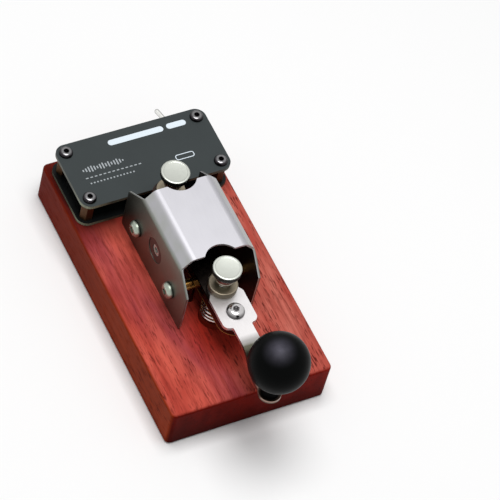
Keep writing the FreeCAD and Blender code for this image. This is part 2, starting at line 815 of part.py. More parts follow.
def make_cover():
    """One sheet: two walls, two slopes and a top, with corners cut off."""
    body = new_body("Cover")
    place(body, z=BASE_TOP)
    top_half = "cover_top_width / 2"
    run = f"(cover_width / 2 - {top_half})"
    slope_foot = "(cover_height - cover_slope_height)"
    # Inner corners lie one thickness inside, measured along each bend's half angle
    low_shift = f"cover_thickness * tan(atan({run} / cover_slope_height) / 2)"
    high_shift = f"cover_thickness * tan(atan(cover_slope_height / {run}) / 2)"
    outside = [
        ("cover_width / 2", "0"),
        ("cover_width / 2", slope_foot),
        (top_half, "cover_height"),
    ]
    inside = [
        (f"{top_half} - {high_shift}", "cover_height - cover_thickness"),
        (COVER_INSIDE, f"{slope_foot} - {low_shift}"),
        (COVER_INSIDE, "0"),
    ]
    left = [(f"-({x})", z) for x, z in reversed(outside)]
    inner_left = [(f"-({x})", z) for x, z in reversed(inside)]
    profile = new_sketch(body, "XZ_Plane", "-wall_rear")
    add_polygon(profile, outside + left + inner_left + inside)
    pad(body, profile, "wall_front + wall_rear")

    half = size("cover_width") / 2
    top = size("cover_top_width") / 2
    slope = size("cover_slope_height")
    height = size("cover_height")
    metal = size("cover_thickness")
    wall_turn = math.atan2(half - top, slope)
    top_turn = math.pi / 2 - wall_turn
    outer_bends = [(half, height - slope), (top, height)]
    inner_bends = [
        (half - metal, height - slope - metal * math.tan(wall_turn / 2)),
        (top - metal * math.tan(top_turn / 2), height - metal),
    ]
    for bends, radius in ((outer_bends, "cover_bend_radius + cover_thickness"),
                          (inner_bends, "cover_bend_radius")):
        pairs = [(sign * x, z) for x, z in bends for sign in (-1, 1)]
        soften(body, lambda edge: runs_through(edge, "XZ", pairs), radius)
    wall_corners = [(-size("wall_front"), 0), (size("wall_rear"), 0)]
    soften(body, lambda edge: runs_through(edge, "YZ", wall_corners), "wall_corner_radius")

    over = "(cover_height + cover_slope_height)"
    corners = new_sketch(body, "YZ_Plane")
    for sign, wall, top in (("-", "wall_front", "top_front"), ("", "wall_rear", "top_rear")):
        add_polygon(corners, [
            (f"{sign}({wall} + cover_slope_height)", "wall_edge_height"),
            (f"{sign}{wall}", "wall_edge_height"),
            (f"{sign}{top}", slope_foot),
            (f"{sign}{top}", over),
            (f"{sign}({wall} + cover_slope_height)", over),
        ])
    pocket(body, corners, symmetric=True)
    notches = new_sketch(body, "XY_Plane", over)
    add_circle(notches, "0", "-(top_front - notch_depth + notch_radius)", "notch_radius")
    add_circle(notches, "0", "top_rear - notch_depth + notch_radius", "notch_radius")
    pocket(body, notches, "2 * cover_slope_height")
    rise = size("notch_radius") - size("notch_depth")
    reach = math.sqrt(size("notch_radius") ** 2 - rise ** 2)
    notch_corners = [(side * reach, y) for y in (-size("top_front"), size("top_rear")) for side in (-1, 1)]
    soften(body, lambda edge: runs_through(edge, "XY", notch_corners), "notch_corner_radius")
    holes = new_sketch(body, "YZ_Plane")
    for y in ("-front_bar_forward", "rear_bar_back"):
        add_circle(holes, y, "bar_height", "small_thread_radius + thread_clearance")
    add_circle(holes, "-pivot_forward", "pivot_height", "bush_spigot_radius + bush_fit")
    pocket(body, holes, symmetric=True)
    keep(body, "cover")


# Cross bars of the frame

def make_cross_bar(node, y):
    """Round bar between the walls: tapped ends, and two holes for bolts."""
    bar = cylinder(f"{node}_round", "bar_radius", f"2 * {COVER_INSIDE}",
                   f"-{COVER_INSIDE}", y, BAR_Z, Y_AXIS, 90)
    bore = "small_thread_radius + thread_clearance"
    depth = "(side_thread_length + bore_end_gap)"
    tools = [
        cylinder(f"{node}_left_end", bore, depth, f"-{COVER_INSIDE}", y, BAR_Z, Y_AXIS, 90),
        cylinder(f"{node}_right_end", bore, depth, f"{COVER_INSIDE} - {depth}", y, BAR_Z, Y_AXIS, 90),
    ]
    for side in (-1, 1):
        tools.append(cylinder(f"{node}_bolt_hole", bore, "2 * bar_radius",
                              f"{side} * frame_bolt_side", y, f"{BAR_Z} - bar_radius"))
    keep(cut(node, bar, tools), node)


def make_side_screws():
    master = screw("side_screw_master", "side_head_radius", "side_head_height",
                   "small_thread_radius", "cover_thickness + side_thread_length",
                   "side_socket_flats", "side_head_height - head_rim")
    places = []
    for y in ("-front_bar_forward", "rear_bar_back"):
        places.append(("cover_width / 2", y, BAR_Z, Y_AXIS, 90))
        places.append(("-cover_width / 2", y, BAR_Z, Y_AXIS, -90))
    keep(copies("side_screws", master, places), "side_screws")


# Pivot: a bush in each wall, a pointed screw through it and a jam nut

def make_pivot(hand, side):
    turn = 90 * side
    y = "-pivot_forward"
    outer = f"{side} * (cover_width / 2 - bush_recess)"
    flange_face = f"({COVER_INSIDE} - bush_flange_thickness)"
    screw_end = "(cover_width / 2 - pivot_recess)"
    shoulder = "(lever_width / 2 + pivot_end_play)"

    spigot = cylinder(f"{hand}_spigot", "bush_spigot_radius",
                      "cover_thickness - bush_recess + bush_flange_thickness",
                      outer, y, PIVOT_Z, Y_AXIS, -turn)
    flange = cylinder(f"{hand}_flange", "bush_flange_radius", "bush_flange_thickness",
                      f"{side} * {COVER_INSIDE}", y, PIVOT_Z, Y_AXIS, -turn)
    bore = cylinder(f"{hand}_bush_bore", "pivot_thread_radius + thread_clearance",
                    "cover_thickness + bush_flange_thickness",
                    f"{side} * cover_width / 2", y, PIVOT_Z, Y_AXIS, -turn)
    node = f"{hand}_pivot_bush"
    keep(cut(node, fuse(f"{hand}_bush_whole", [spigot, flange]), [bore]), node)

    thread = cylinder(f"{hand}_pivot_thread", "pivot_thread_radius", f"{screw_end} - {shoulder}",
                      f"{side} * {screw_end}", y, PIVOT_Z, Y_AXIS, -turn)
    pin = cylinder(f"{hand}_pivot_pin", "pivot_pin_radius",
                   f"{screw_end} - {shoulder} + pivot_pin_length",
                   f"{side} * {screw_end}", y, PIVOT_Z, Y_AXIS, -turn)
    socket = prism(f"{hand}_pivot_socket", "pivot_socket_flats", "pivot_socket_depth",
                   f"{side} * {screw_end}", y, PIVOT_Z, Y_AXIS, -turn)
    node = f"{hand}_pivot_screw"
    keep(cut(node, fuse(f"{hand}_screw_whole", [thread, pin]), [socket]), node)

    nut = prism(f"{hand}_nut_outside", "pivot_nut_flats", "pivot_nut_thickness",
                f"{side} * {flange_face}", y, PIVOT_Z, Y_AXIS, -turn)
    hole = cylinder(f"{hand}_nut_hole", "pivot_thread_radius + thread_clearance",
                    "pivot_nut_thickness", f"{side} * {flange_face}", y, PIVOT_Z, Y_AXIS, -turn)
    node = f"{hand}_pivot_jam_nut"
    keep(cut(node, nut, [hole]), node)


# Posts, seat and return spring

def make_post(node, y, height):
    """Round post on the base, tapped from below."""
    body = new_body(node)
    place(body, "0", y, BASE_TOP)
    bore = "small_thread_radius + thread_clearance"
    depth = "thread_reach + bore_end_gap"
    revolve(body, [
        (bore, "0"),
        ("post_radius", "0"),
        ("post_radius", f"{height} - post_edge"),
        ("post_radius - post_edge", height),
        ("0", height),
        ("0", depth),
        (bore, depth),
    ])
    keep(body, node)


def biarc(start, start_way, end, end_way):
    """Two tangent arcs between two points with given directions."""
    chord = end - start
    both = start_way + end_way
    square = 2 * (start_way.dot(end_way) - 1)
    middle = -2 * chord.dot(both)
    root = math.sqrt(middle ** 2 - 4 * square * chord.dot(chord))
    reach = (-middle - root) / (2 * square)
    if reach <= 0:
        reach = (-middle + root) / (2 * square)
    joint = (start + start_way * reach + end - end_way * reach) * 0.5
    arcs = []
    for first, knee, last in ((start, start + start_way * reach, joint),
                              (joint, end - end_way * reach, end)):
        centre = (first + last) * 0.5
        half_turn = (knee - first).getAngle(last - first)
        rise = (last - first).Length / 2 * math.tan(half_turn / 2)
        crown = centre + (knee - centre).normalize() * rise
        arcs.append(Part.Arc(first, crown, last).toShape())
    return arcs


def make_return_spring():
    """Coil spring round the contact post, between the seat and the lever."""
    wire = size("spring_wire_radius")
    radius = size("spring_radius")
    floor = size("seat_thickness") + size("spring_clearance") + wire
    ceiling = (size("pivot_height") - size("lever_thickness") / 2
               - size("spring_clearance") - wire)
    end_pitch = size("spring_end_pitch")
    free_rise = ceiling - floor - 2 * SPRING_END_TURNS * end_pitch
    quarters = 4 * (2 * SPRING_END_TURNS + SPRING_ACTIVE_TURNS)
    rises = []
    for quarter in range(quarters):
        at_end = quarter < 4 * SPRING_END_TURNS or quarter >= quarters - 4 * SPRING_END_TURNS
        rises.append(end_pitch / 4 if at_end else free_rise / (4 * SPRING_ACTIVE_TURNS))

    points = []
    ways = []
    height = floor
    for quarter in range(quarters + 1):
        angle = math.pi / 2 * quarter
        below = rises[quarter - 1] if quarter > 0 else 0
        above = rises[quarter] if quarter < quarters else 0
        slope = 0 if quarter in (0, quarters) else (below + above) / 2
        points.append(Vector(radius * math.cos(angle), radius * math.sin(angle), height))
        way = Vector(-math.sin(angle), math.cos(angle), slope / (math.pi / 2 * radius))
        ways.append(way.normalize())
        height += above

    lead = 2 * wire
    edges = [Part.LineSegment(points[0] - ways[0] * lead, points[0]).toShape()]
    for quarter in range(quarters):
        edges += biarc(points[quarter], ways[quarter], points[quarter + 1], ways[quarter + 1])
    edges.append(Part.LineSegment(points[-1], points[-1] + ways[-1] * lead).toShape())
    path = Part.Wire(edges)
    start = points[0] - ways[0] * lead
    section = Part.Wire([Part.Circle(start, ways[0], wire).toShape()])
    coil = path.makePipeShell([section], True, False)

    samples = []
    travelled = 0
    for edge in edges:
        for point in edge.discretize(SPRING_SAMPLES + 1)[:-1]:
            samples.append((travelled + (point - edge.Vertexes[0].Point).Length, point))
        travelled += edge.Length
    near_turn = math.pi * radius
    gap = min(
        (first[1] - second[1]).Length
        for index, first in enumerate(samples) for second in samples[index + 1:]
        if second[0] - first[0] > near_turn
    ) - 2 * wire
    print(f"return_spring: least gap to itself {gap:.2f} mm, volume {coil.Volume:.1f} "
          f"of {math.pi * wire ** 2 * path.Length:.1f}")

    spring = doc.addObject("Part::Feature", "return_spring")
    spring.Shape = coil
    place(spring, "0", "-contact_forward", BASE_TOP)
    keep(spring, "return_spring")


# Lever and knob arm

def make_lever_bar():
    """Flat bar with round ends, tapped for three screws and drilled for the pivot."""
    body = new_body("LeverBar")
    place(body, z=LEVER_BOTTOM)
    straight = new_sketch(body, "XY_Plane")
    add_polygon(straight, [
        ("-lever_width / 2", "-arm_screw_forward"),
        ("lever_width / 2", "-arm_screw_forward"),
        ("lever_width / 2", "stop_back"),
        ("-lever_width / 2", "stop_back"),
    ])
    pad(body, straight, "lever_thickness")
    ends = new_sketch(body, "XY_Plane")
    add_circle(ends, "0", "-arm_screw_forward", "lever_width / 2")
    add_circle(ends, "0", "stop_back", "lever_width / 2")
    pad(body, ends, "lever_thickness")
    thick = size("lever_thickness")
    soften(body, lambda edge: lies_at(edge, 0) or lies_at(edge, thick), "lever_edge", "Chamfer")

    threads = new_sketch(body, "XY_Plane")
    for y in ("-arm_screw_forward", "-contact_forward", "stop_back"):
        add_circle(threads, "0", y, "large_thread_radius + thread_clearance")
    pocket(body, threads, upward=True)
    depth = "(pivot_pin_length - pivot_end_play + pivot_pin_end_gap)"
    for sign in ("-", ""):
        pivot = new_sketch(body, "YZ_Plane", f"{sign}(lever_width / 2 - {depth})")
        add_circle(pivot, "-pivot_forward", "lever_thickness / 2",
                   "pivot_pin_radius + pivot_running_clearance")
        pocket(body, pivot, depth, upward=(sign == ""))
    keep(body, "lever_bar")


def make_knob_arm():
    """Bent strip: the side profile and the plan outline share its shape."""
    side = new_body("ArmProfile")
    place(side, z=ARM_TOP)
    run = "(arm_drop / tan(arm_bend_angle))"
    back = "(arm_neck_radius - contact_forward + arm_thickness)"
    front = "-(knob_forward + 2 * arm_eye_radius)"
    shift = "arm_thickness * tan(arm_bend_angle / 2)"
    profile = new_sketch(side, "YZ_Plane")
    add_polygon(profile, [
        (back, "0"),
        ("-arm_bend_forward", "0"),
        (f"-(arm_bend_forward + {run})", "-arm_drop"),
        (front, "-arm_drop"),
        (front, "-arm_drop - arm_thickness"),
        (f"-(arm_bend_forward + {run}) + {shift}", "-arm_drop - arm_thickness"),
        (f"-arm_bend_forward + {shift}", "-arm_thickness"),
        (back, "-arm_thickness"),
    ])
    pad(side, profile, "2 * arm_width", symmetric=True)

    bend = size("arm_bend_forward")
    drop = size("arm_drop")
    metal = size("arm_thickness")
    angle = math.radians(size("arm_bend_angle"))
    foot = bend + drop / math.tan(angle)
    inset = metal * math.tan(angle / 2)
    outer_bends = [(-bend, 0), (-foot + inset, -drop - metal)]
    inner_bends = [(-foot, -drop), (-bend + inset, -metal)]
    for bends, radius in ((outer_bends, "arm_bend_radius + arm_thickness"),
                          (inner_bends, "arm_bend_radius")):
        soften(side, lambda edge: runs_through(edge, "YZ", bends), radius)

    plan = new_body("ArmOutline")
    place(plan, z=f"{TAB_TOP} - 2 * arm_thickness")
    outline = new_sketch(plan, "XY_Plane")
    right = [
        ("tongue_width / 2", "-knob_forward"),
        ("tongue_width / 2", "-arm_front_forward"),
        ("arm_width / 2", "-arm_front_forward"),
        ("arm_width / 2", "-arm_shoulder_forward"),
        ("arm_neck_radius", "-arm_neck_forward"),
    ]
    add_polygon(outline, right + [(f"-({x})", y) for x, y in reversed(right)])
    deep = "arm_drop + 4 * arm_thickness"
    pad(plan, outline, deep)
    front_y = -size("arm_front_forward")
    wide = size("arm_width") / 2
    narrow = size("tongue_width") / 2
    soften(plan, lambda edge: runs_through(edge, "XY", [(wide, front_y), (-wide, front_y)]),
           "arm_corner_radius")
    soften(plan, lambda edge: runs_through(edge, "XY", [(narrow, front_y), (-narrow, front_y)]),
           "arm_root_radius")
    rounds = new_sketch(plan, "XY_Plane")
    add_circle(rounds, "0", "-contact_forward", "arm_neck_radius")
    add_circle(rounds, "0", "-knob_forward", "arm_eye_radius")
    pad(plan, rounds, deep)
    holes = new_sketch(plan, "XY_Plane")
    for y in ("-contact_forward", "-arm_screw_forward", "-knob_forward"):
        add_circle(holes, "0", y, "large_thread_radius + arm_hole_clearance")
    pocket(plan, holes, upward=True)

    strip = doc.addObject("Part::Common", "arm_strip")
    strip.Base = side
    strip.Tool = plan
    keep(strip, "knob_arm")


def make_arm_screw():
    length = "arm_thickness + lever_thickness - screw_end_gap"
    body = screw("arm_screw_body", "arm_button_radius", "arm_button_height",
                 "large_thread_radius", length, "arm_socket_flats", "arm_button_height - head_rim")
    place(body, "0", "-arm_screw_forward", ARM_TOP)
    keep(body, "arm_screw")


# Ball knob on the arm's tab

def make_knob():
    y = "-knob_forward"
    collar_height = f"({KNOB_FLAT} - {TAB_TOP})"
    shank = "large_thread_radius + thread_clearance"
    keep(ring("knob_collar", "collar_radius", shank, collar_height, "0", y, TAB_TOP), "knob_collar")

    ball = doc.addObject("Part::Sphere", "knob_sphere")
    bind(ball, "Radius", "knob_radius")
    place(ball, "0", y, KNOB_Z)
    below = block("knob_below", "2 * knob_radius", "2 * knob_radius", "knob_radius",
                  "0", y, f"{KNOB_FLAT} - knob_radius")
    recess = cylinder("knob_recess", "insert_radius + insert_fit",
                      "insert_length + insert_margin", "0", y, KNOB_FLAT)
    keep(cut("ball_knob", ball, [below, recess]), "ball_knob")
    keep(ring("knob_insert", "insert_radius", shank, "insert_length", "0", y, KNOB_FLAT),
         "knob_insert")

    length = f"arm_thickness + {collar_height} + insert_length - screw_end_gap"
    body = screw("knob_screw_body", "knob_head_radius", "knob_head_height",
                 "large_thread_radius", length, "arm_socket_flats", "knob_head_height - head_rim")
    place(body, "0", y, f"{TAB_TOP} - arm_thickness", X_AXIS, HALF_TURN)
    keep(body, "knob_screw")


# Thumb screws and their lock nuts

def make_thumb_screw(node, y):
    """Tip at the body's own origin, thread, neck and a flat round head."""
    body = new_body(node)
    place(body, "0", y, TIP_Z)
    head_top = "(thumb_thread_length + thumb_head_height)"
    disc = f"({head_top} - thumb_disc_thickness)"
    revolve(body, [
        ("0", "0"),
        ("thumb_tip_radius", "0"),
        ("thumb_tip_radius", "thumb_tip_height"),
        ("large_thread_radius", "thumb_tip_height"),
        ("large_thread_radius", "thumb_thread_length"),
        ("thumb_neck_radius", "thumb_thread_length"),
        ("thumb_neck_radius", disc),
        ("thumb_radius", disc),
        ("thumb_radius", head_top),
        ("0", head_top),
    ])
    top = size("thumb_thread_length") + size("thumb_head_height")
    under = top - size("thumb_disc_thickness")
    rim = size("thumb_radius")
    soften(body, lambda edge: (lies_at(edge, top) or lies_at(edge, under))
           and edge.BoundBox.XMax > rim - NEAR, "thumb_edge_radius")
    keep(body, node)


def make_lock_nut(node, y, seat):
    body = new_body(node)
    place(body, "0", y, f"{seat} + face_clearance")
    bore = "large_thread_radius + thread_clearance"
    revolve(body, [
        (bore, "0"),
        ("locknut_radius", "0"),
        ("locknut_radius", "locknut_thickness"),
        (bore, "locknut_thickness"),
    ])
    thick = size("locknut_thickness")
    rim = size("locknut_radius")
    soften(body, lambda edge: (lies_at(edge, 0) or lies_at(edge, thick))
           and edge.BoundBox.XMax > rim - NEAR, "locknut_edge_radius")
    keep(body, node)


make_base_block()
make_base_mat()
make_base_screws()
make_wire_lugs()
make_wires()
make_plate("circuit_board", BASE_TOP)
make_plate("module_top_plate", PLATE_BOTTOM)
make_pillars_and_screws()
make_buzzer()
make_signal_lamp()
make_cell_and_holder()
make_driver_chip()
make_audio_jack()
make_power_switch()
make_cover()
make_cross_bar("front_cross_bar", "-front_bar_forward")
make_cross_bar("rear_cross_bar", "rear_bar_back")
make_side_screws()
make_pivot("left", -1)
make_pivot("right", 1)
make_post("contact_post", "-contact_forward", "post_height")
make_post("stop_post", "stop_back", "(post_height + contact_gap - rest_clearance)")
keep(ring("spring_seat", "seat_radius", "post_radius + seat_clearance", "seat_thickness",
          "0", "-contact_forward", BASE_TOP), "spring_seat")
make_return_spring()
make_lever_bar()
make_knob_arm()
make_arm_screw()
make_knob()
make_thumb_screw("contact_thumb_screw", "-contact_forward")
make_thumb_screw("stop_thumb_screw", "stop_back")
make_lock_nut("contact_lock_nut", "-contact_forward", ARM_TOP)
make_lock_nut("stop_lock_nut", "stop_back", LEVER_TOP)
doc.recompute()

for thing in doc.Objects:
    if "Invalid" in thing.State or "Error" in thing.State:
        raise RuntimeError(f"{thing.Name} ({thing.Label}) did not recompute: {thing.State}")
for thing in nodes:
    if thing.Shape.isNull() or not thing.Shape.isValid():
        raise RuntimeError(f"{thing.Label} has no valid shape")

os.makedirs("parts", exist_ok=True)
for thing in nodes:
    thing.Shape.exportStep(f"parts/{thing.Label}.step")
    print(f"{thing.Label}: {len(thing.Shape.Solids)} solids, {thing.Shape.Volume:.1f} mm3")
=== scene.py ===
"""Finishes, fine turned and printed pieces, stage and camera for the practice key with its sound module."""

import math

import bmesh
import bpy
from mathutils import Matrix, Vector


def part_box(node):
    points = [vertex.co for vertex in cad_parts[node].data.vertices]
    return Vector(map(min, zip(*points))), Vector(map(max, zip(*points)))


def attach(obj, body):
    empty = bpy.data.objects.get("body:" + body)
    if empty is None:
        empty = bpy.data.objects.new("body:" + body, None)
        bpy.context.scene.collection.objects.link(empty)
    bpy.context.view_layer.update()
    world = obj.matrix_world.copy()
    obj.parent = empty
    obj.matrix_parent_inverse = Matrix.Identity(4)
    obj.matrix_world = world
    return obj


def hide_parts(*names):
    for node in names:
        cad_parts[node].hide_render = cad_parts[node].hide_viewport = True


bl_info = {
    "name": "Practice key dressing",
    "version": (1, 0, 0),
    "blender": (4, 5, 0),
    "location": "3D View > Sidebar > Key",
    "description": "Wood, metal, knurls, threads, prints and a plain stage for the packed practice key",
    "category": "Object",
}

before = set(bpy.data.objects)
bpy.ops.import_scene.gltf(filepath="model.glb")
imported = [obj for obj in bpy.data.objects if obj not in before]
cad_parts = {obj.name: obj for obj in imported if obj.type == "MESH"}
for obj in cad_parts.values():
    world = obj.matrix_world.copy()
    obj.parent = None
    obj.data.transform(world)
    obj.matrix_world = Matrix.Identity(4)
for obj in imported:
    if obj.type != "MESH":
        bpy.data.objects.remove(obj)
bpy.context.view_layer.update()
MM = 0.001
FULL_TURN = 2 * math.pi
# Points nearer to each other than this are one
MERGED = 1e-7
# Nearly all values of a noise texture lie between these two
NOISE_LOW = 0.3
NOISE_HIGH = 0.7
# How deep the knurl's grooves lie under a rim, as a share of a tooth
ROOT_SHARE = 0.35
# How far a tooth's middle lies under a rim, as a share of the tooth
TIP_SHARE = 0.72


def shade(red, green, blue):
    """A colour as read off a picture, 0 to 255, as linear values by the usual screen curve."""
    linear = []
    for part in (red, green, blue):
        value = part / 255
        linear.append(value / 12.92 if value <= 0.04045 else ((value + 0.055) / 1.055) ** 2.4)
    return tuple(linear)


def colour(name, description, red, green, blue):
    return bpy.props.FloatVectorProperty(
        name=name, description=description, size=3, subtype="COLOR", min=0.0, max=1.0,
        default=shade(red, green, blue),
    )


def length(name, description, millimetres):
    return bpy.props.FloatProperty(
        name=name, description=description, default=millimetres * MM, min=0.0, unit="LENGTH", precision=5
    )


def count(name, description, number, least=1):
    return bpy.props.IntProperty(name=name, description=description, default=number, min=least)


def angle(name, description, degrees):
    return bpy.props.FloatProperty(
        name=name, description=description, default=math.radians(degrees), subtype="ANGLE"
    )


def amount(name, description, value, unit="NONE"):
    return bpy.props.FloatProperty(name=name, description=description, default=value, min=0.0, unit=unit)


# Sizes and colours that can be changed


class KeyColours(bpy.types.PropertyGroup):
    wood_bright: colour("Bright wood", "Glowing orange-red of the oiled top", 212, 96, 80)
    wood_pale: colour("Pale wood", "Paler band along the right edge", 200, 110, 96)
    wood_middle: colour("Middle wood", "Soft darker clouds in the top", 168, 58, 48)
    wood_dark: colour("Dark wood", "Purple-brown band of heartwood in the top", 142, 58, 68)
    # Painted shadow: the deep red that the module casts on the top beside it
    wood_module_shadow: colour("Deep wood", "Deepest red, beside the module", 48, 5, 2)
    # Painted shade: saturated dark red where the lever, arm and spring shade the top
    wood_lever_shade: colour("Heart wood", "Saturated red round the lever's front", 166, 30, 14)
    wood_pore: colour("Pores", "Short dark pores", 70, 20, 18)
    wood_side: colour("Wood sides", "Deep red-brown of the long sides", 146, 50, 14)
    wood_end: colour("End grain", "Dark red of the front and back", 118, 18, 8)
    plate: colour("Plates", "Dark slate of both module plates", 56, 62, 63)
    plate_edge: colour("Plate edge", "Cut edge of the plates", 142, 149, 126)
    prints: colour("Prints", "White of the printed marks", 225, 236, 244)
    ink_fine: colour("Fine print", "Greyer white of the small printed marks", 162, 168, 172)
    cover: colour("Cover", "Satin steel of the bent cover", 190, 189, 194)
    # Painted shade: the slopes are the top's satin drawn greyer where less light falls
    cover_slope_shade: colour("Cover slopes", "Greyer satin of the slopes beside the top", 173, 176, 168)
    # Painted shade: the walls are the same steel as the top, drawn darker where they catch less light
    cover_wall_shade: colour("Cover walls", "Darker polish of the cover's upright walls", 122, 126, 115)
    # Painted shade: dark for the cover's inside and for the low end of the arm's bend, where shade falls
    inner_shade: colour("Cover inside", "Dark inner face of the cover", 62, 58, 55)
    arm: colour("Arm", "Bright satin of the knob arm", 222, 219, 219)
    # Painted reflection: the olive grey down the arm's bend
    arm_shade: colour("Arm bend", "Olive grey that the arm's bend reflects", 66, 65, 55)
    # Painted highlight: the rosy rim of the arm's round end
    arm_rim_highlight: colour("Arm rim", "Rosy rim of the arm's round end", 164, 138, 124)
    nickel: colour("Nickel", "Soft white of thumb screws, pivot screws and bushing", 201, 204, 196)
    plating: colour("Plating", "Grey-green zinc of the side screws", 176, 186, 172)
    nut: colour("Lock nuts", "Olive grey of the lock nuts", 150, 140, 122)
    # Painted reflection: the brown of the wood on the thumb screws' necks
    neck: colour("Thumb neck", "Brown that the thumb screws' necks reflect", 112, 60, 50)
    steel: colour("Steel", "Plain bright steel", 165, 165, 166)
    toggle: colour("Toggle", "Bright plating of the switch toggle", 254, 254, 250)
    # Painted shade: the lever's steel drawn dark where the cover shades it
    lever: colour("Lever", "Dark steel of the lever bar", 58, 50, 46)
    # Painted reflection of the red wood on the lever's sides
    lever_side_reflection: colour("Lever sides", "Brown that the lever bar's sides have taken", 70, 38, 30)
    spring: colour("Spring", "Bright wire of the return spring", 226, 218, 214)
    black_steel: colour("Blackened steel", "Screws of the module and under the base", 66, 62, 66)
    brass: colour("Brass", "Bars, posts, jam nuts and lugs", 176, 132, 70)
    # Painted shade: the pillars' brass drawn dark for the shade between the plates
    pillar_shade_brass: colour("Aged brass", "Darkened brass of the module's pillars", 84, 58, 38)
    bronze: colour("Bronze", "Dull brown of the pivot bushes", 92, 66, 60)
    ball: colour("Ball", "Near-black of the ball knob", 7, 8, 8)
    # Painted highlight on the crown of the ball knob
    ball_highlight: colour("Ball haze", "Pale haze on the crown of the ball knob", 86, 84, 95)
    plastic: colour("Black plastic", "Moulded parts on the board", 16, 16, 17)
    rubber: colour("Rubber", "Mat under the base", 34, 34, 36)
    switch: colour("Switch", "Blue body of the power switch", 24, 62, 128)
    lens: colour("Lamp", "Red lens of the signal lamp", 176, 16, 18)
    fibre: colour("Fibre", "Seat under the spring", 112, 32, 18)
    red_cable: colour("Red cable", "Insulation of the contact wire", 160, 20, 22)
    solder: colour("Solder", "Tin of legs, pads and resistor ends", 176, 178, 182)


class KeySizes(bpy.types.PropertyGroup):
    thumb_teeth: count("Rim teeth", "Knurl teeth round each thumb screw", 72, 12)
    nut_teeth: count("Nut teeth", "Knurl teeth round each lock nut", 78, 12)
    tooth: length("Tooth", "Side of one square knurl tooth", 0.28)
    pitch: length("Thread pitch", "Rise of the thread in one turn", 0.7)
    thread_wire: length("Thread ridge", "Radius of the ridge that forms the thread", 0.27)
    core_gap: length("Thread depth", "How far the core lies below the thread's crest", 0.3)
    rim_round: length("Rim rounding", "Rounding at the rims of turned pieces", 0.4)
    thumb_disc: length("Thumb disc", "Thickness of the thumb screws' heads", 2.8)
    thumb_neck: length("Thumb neck", "Radius of the thumb screws' necks", 3.75)
    neck_foot: length("Neck foot", "Level where the necks end and the threads start", 46.5)
    shank: length("Shank", "Radius over the thumb screws' threads", 2.0)
    nut_bore: length("Nut bore", "Radius of the lock nuts' bores", 2.05)
    print_height: length("Print height", "How far the printed marks stand up", 0.04)
    print_line: length("Print line", "Width of the outline round the small label", 0.35)
    dot: length("Dot", "Diameter of one printed dot", 0.75)
    dot_count: count("Dots", "Dots in the printed row", 14)
    dash_count: count("Dashes", "Dashes in the printed row", 13)
    bar_count: count("Bars", "Bars in the printed sound wave", 15)


class KeyStage(bpy.types.PropertyGroup):
    azimuth: angle("Azimuth", "Camera's turn round the key", -39.083)
    elevation: angle("Elevation", "Camera's height over the horizon", 53.496)
    roll: angle("Roll", "Camera's turn about its own axis", 16.562)
    place: bpy.props.FloatVectorProperty(
        name="Place", description="Camera's place", size=3, subtype="TRANSLATION",
        default=(-0.47111, -0.61743, 1.09008),
    )
    lens: amount("Lens", "Focal length in millimetres", 237.43)
    shift: bpy.props.FloatVectorProperty(
        name="Shift", description="Framing of the photograph", size=2, default=(-0.0004, -0.0002)
    )
    floor_colour: colour("Floor", "Pale floor", 250, 250, 250)
    floor_side: amount("Floor side", "Side of the square floor", 14.0, "LENGTH")
    overhead: amount("Overhead lamp", "Power of the large lamp above", 10.5)
    overhead_side: amount("Lamp side", "Side of the lamp above", 0.62, "LENGTH")
    overhead_height: amount("Lamp height", "Height of the lamp above", 1.15, "LENGTH")
    sky: amount("Sky", "Strength of the light from all round", 0.32)
    backdrop: amount("Backdrop", "Level of the pale background", 0.8)


def sizes():
    return bpy.context.scene.key_sizes


def colours():
    return bpy.context.scene.key_colours


def node(name):
    """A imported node's object; a name that isn't there stops the script."""
    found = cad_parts.get(name)
    if found is None:
        raise RuntimeError("the frame has no node named " + name)
    return found


def axis_of(name):
    """Middle of a node's box seen from above, with its lowest and highest level."""
    low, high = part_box(name)
    return Vector(((low.x + high.x) / 2, (low.y + high.y) / 2, 0)), low.z, high.z


def half_width(name):
    """Half of a node's width along X."""
    low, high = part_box(name)
    return (high.x - low.x) / 2


def dark(base, share):
    """A tint's values times a share; a share above 1 makes it lighter."""
    return tuple(part * share for part in base)


# Building node trees


class Builder:
    """Adds nodes to a tree, with their inputs linked or set."""

    def __init__(self, graph):
        self.graph = graph

    def add(self, kind, feeds, out=0, **settings):
        """A new node; one of its outputs comes back. A list links several sources to one input."""
        made = self.graph.nodes.new(kind)
        for key, value in settings.items():
            setattr(made, key, value)
        for socket, value in feeds.items():
            for one in value if isinstance(value, list) else [value]:
                if isinstance(one, bpy.types.NodeSocket):
                    self.graph.links.new(one, made.inputs[socket])
                else:
                    made.inputs[socket].default_value = one
        return made.outputs[out]

    def maths(self, way, first, second=0.0):
        return self.add("ShaderNodeMath", {0: first, 1: second}, operation=way)

    def plus(self, first, second):
        return self.maths("ADD", first, second)

    def minus(self, first, second):
        return self.maths("SUBTRACT", first, second)

    def times(self, first, second):
        return self.maths("MULTIPLY", first, second)

    def gap(self, first, second):
        """How far two values lie apart."""
        return self.maths("ABSOLUTE", self.minus(first, second))

    def vector(self, x=0.0, y=0.0, z=0.0):
        return self.add("ShaderNodeCombineXYZ", {0: x, 1: y, 2: z})

    def span(self, value, low=NOISE_LOW, high=NOISE_HIGH, to_low=0.0, to_high=1.0):
        """Stretches the values from low to high over another range and stops at its ends."""
        feeds = {"Value": value, "From Min": low, "From Max": high, "To Min": to_low, "To Max": to_high}
        return self.add("ShaderNodeMapRange", feeds, clamp=True)


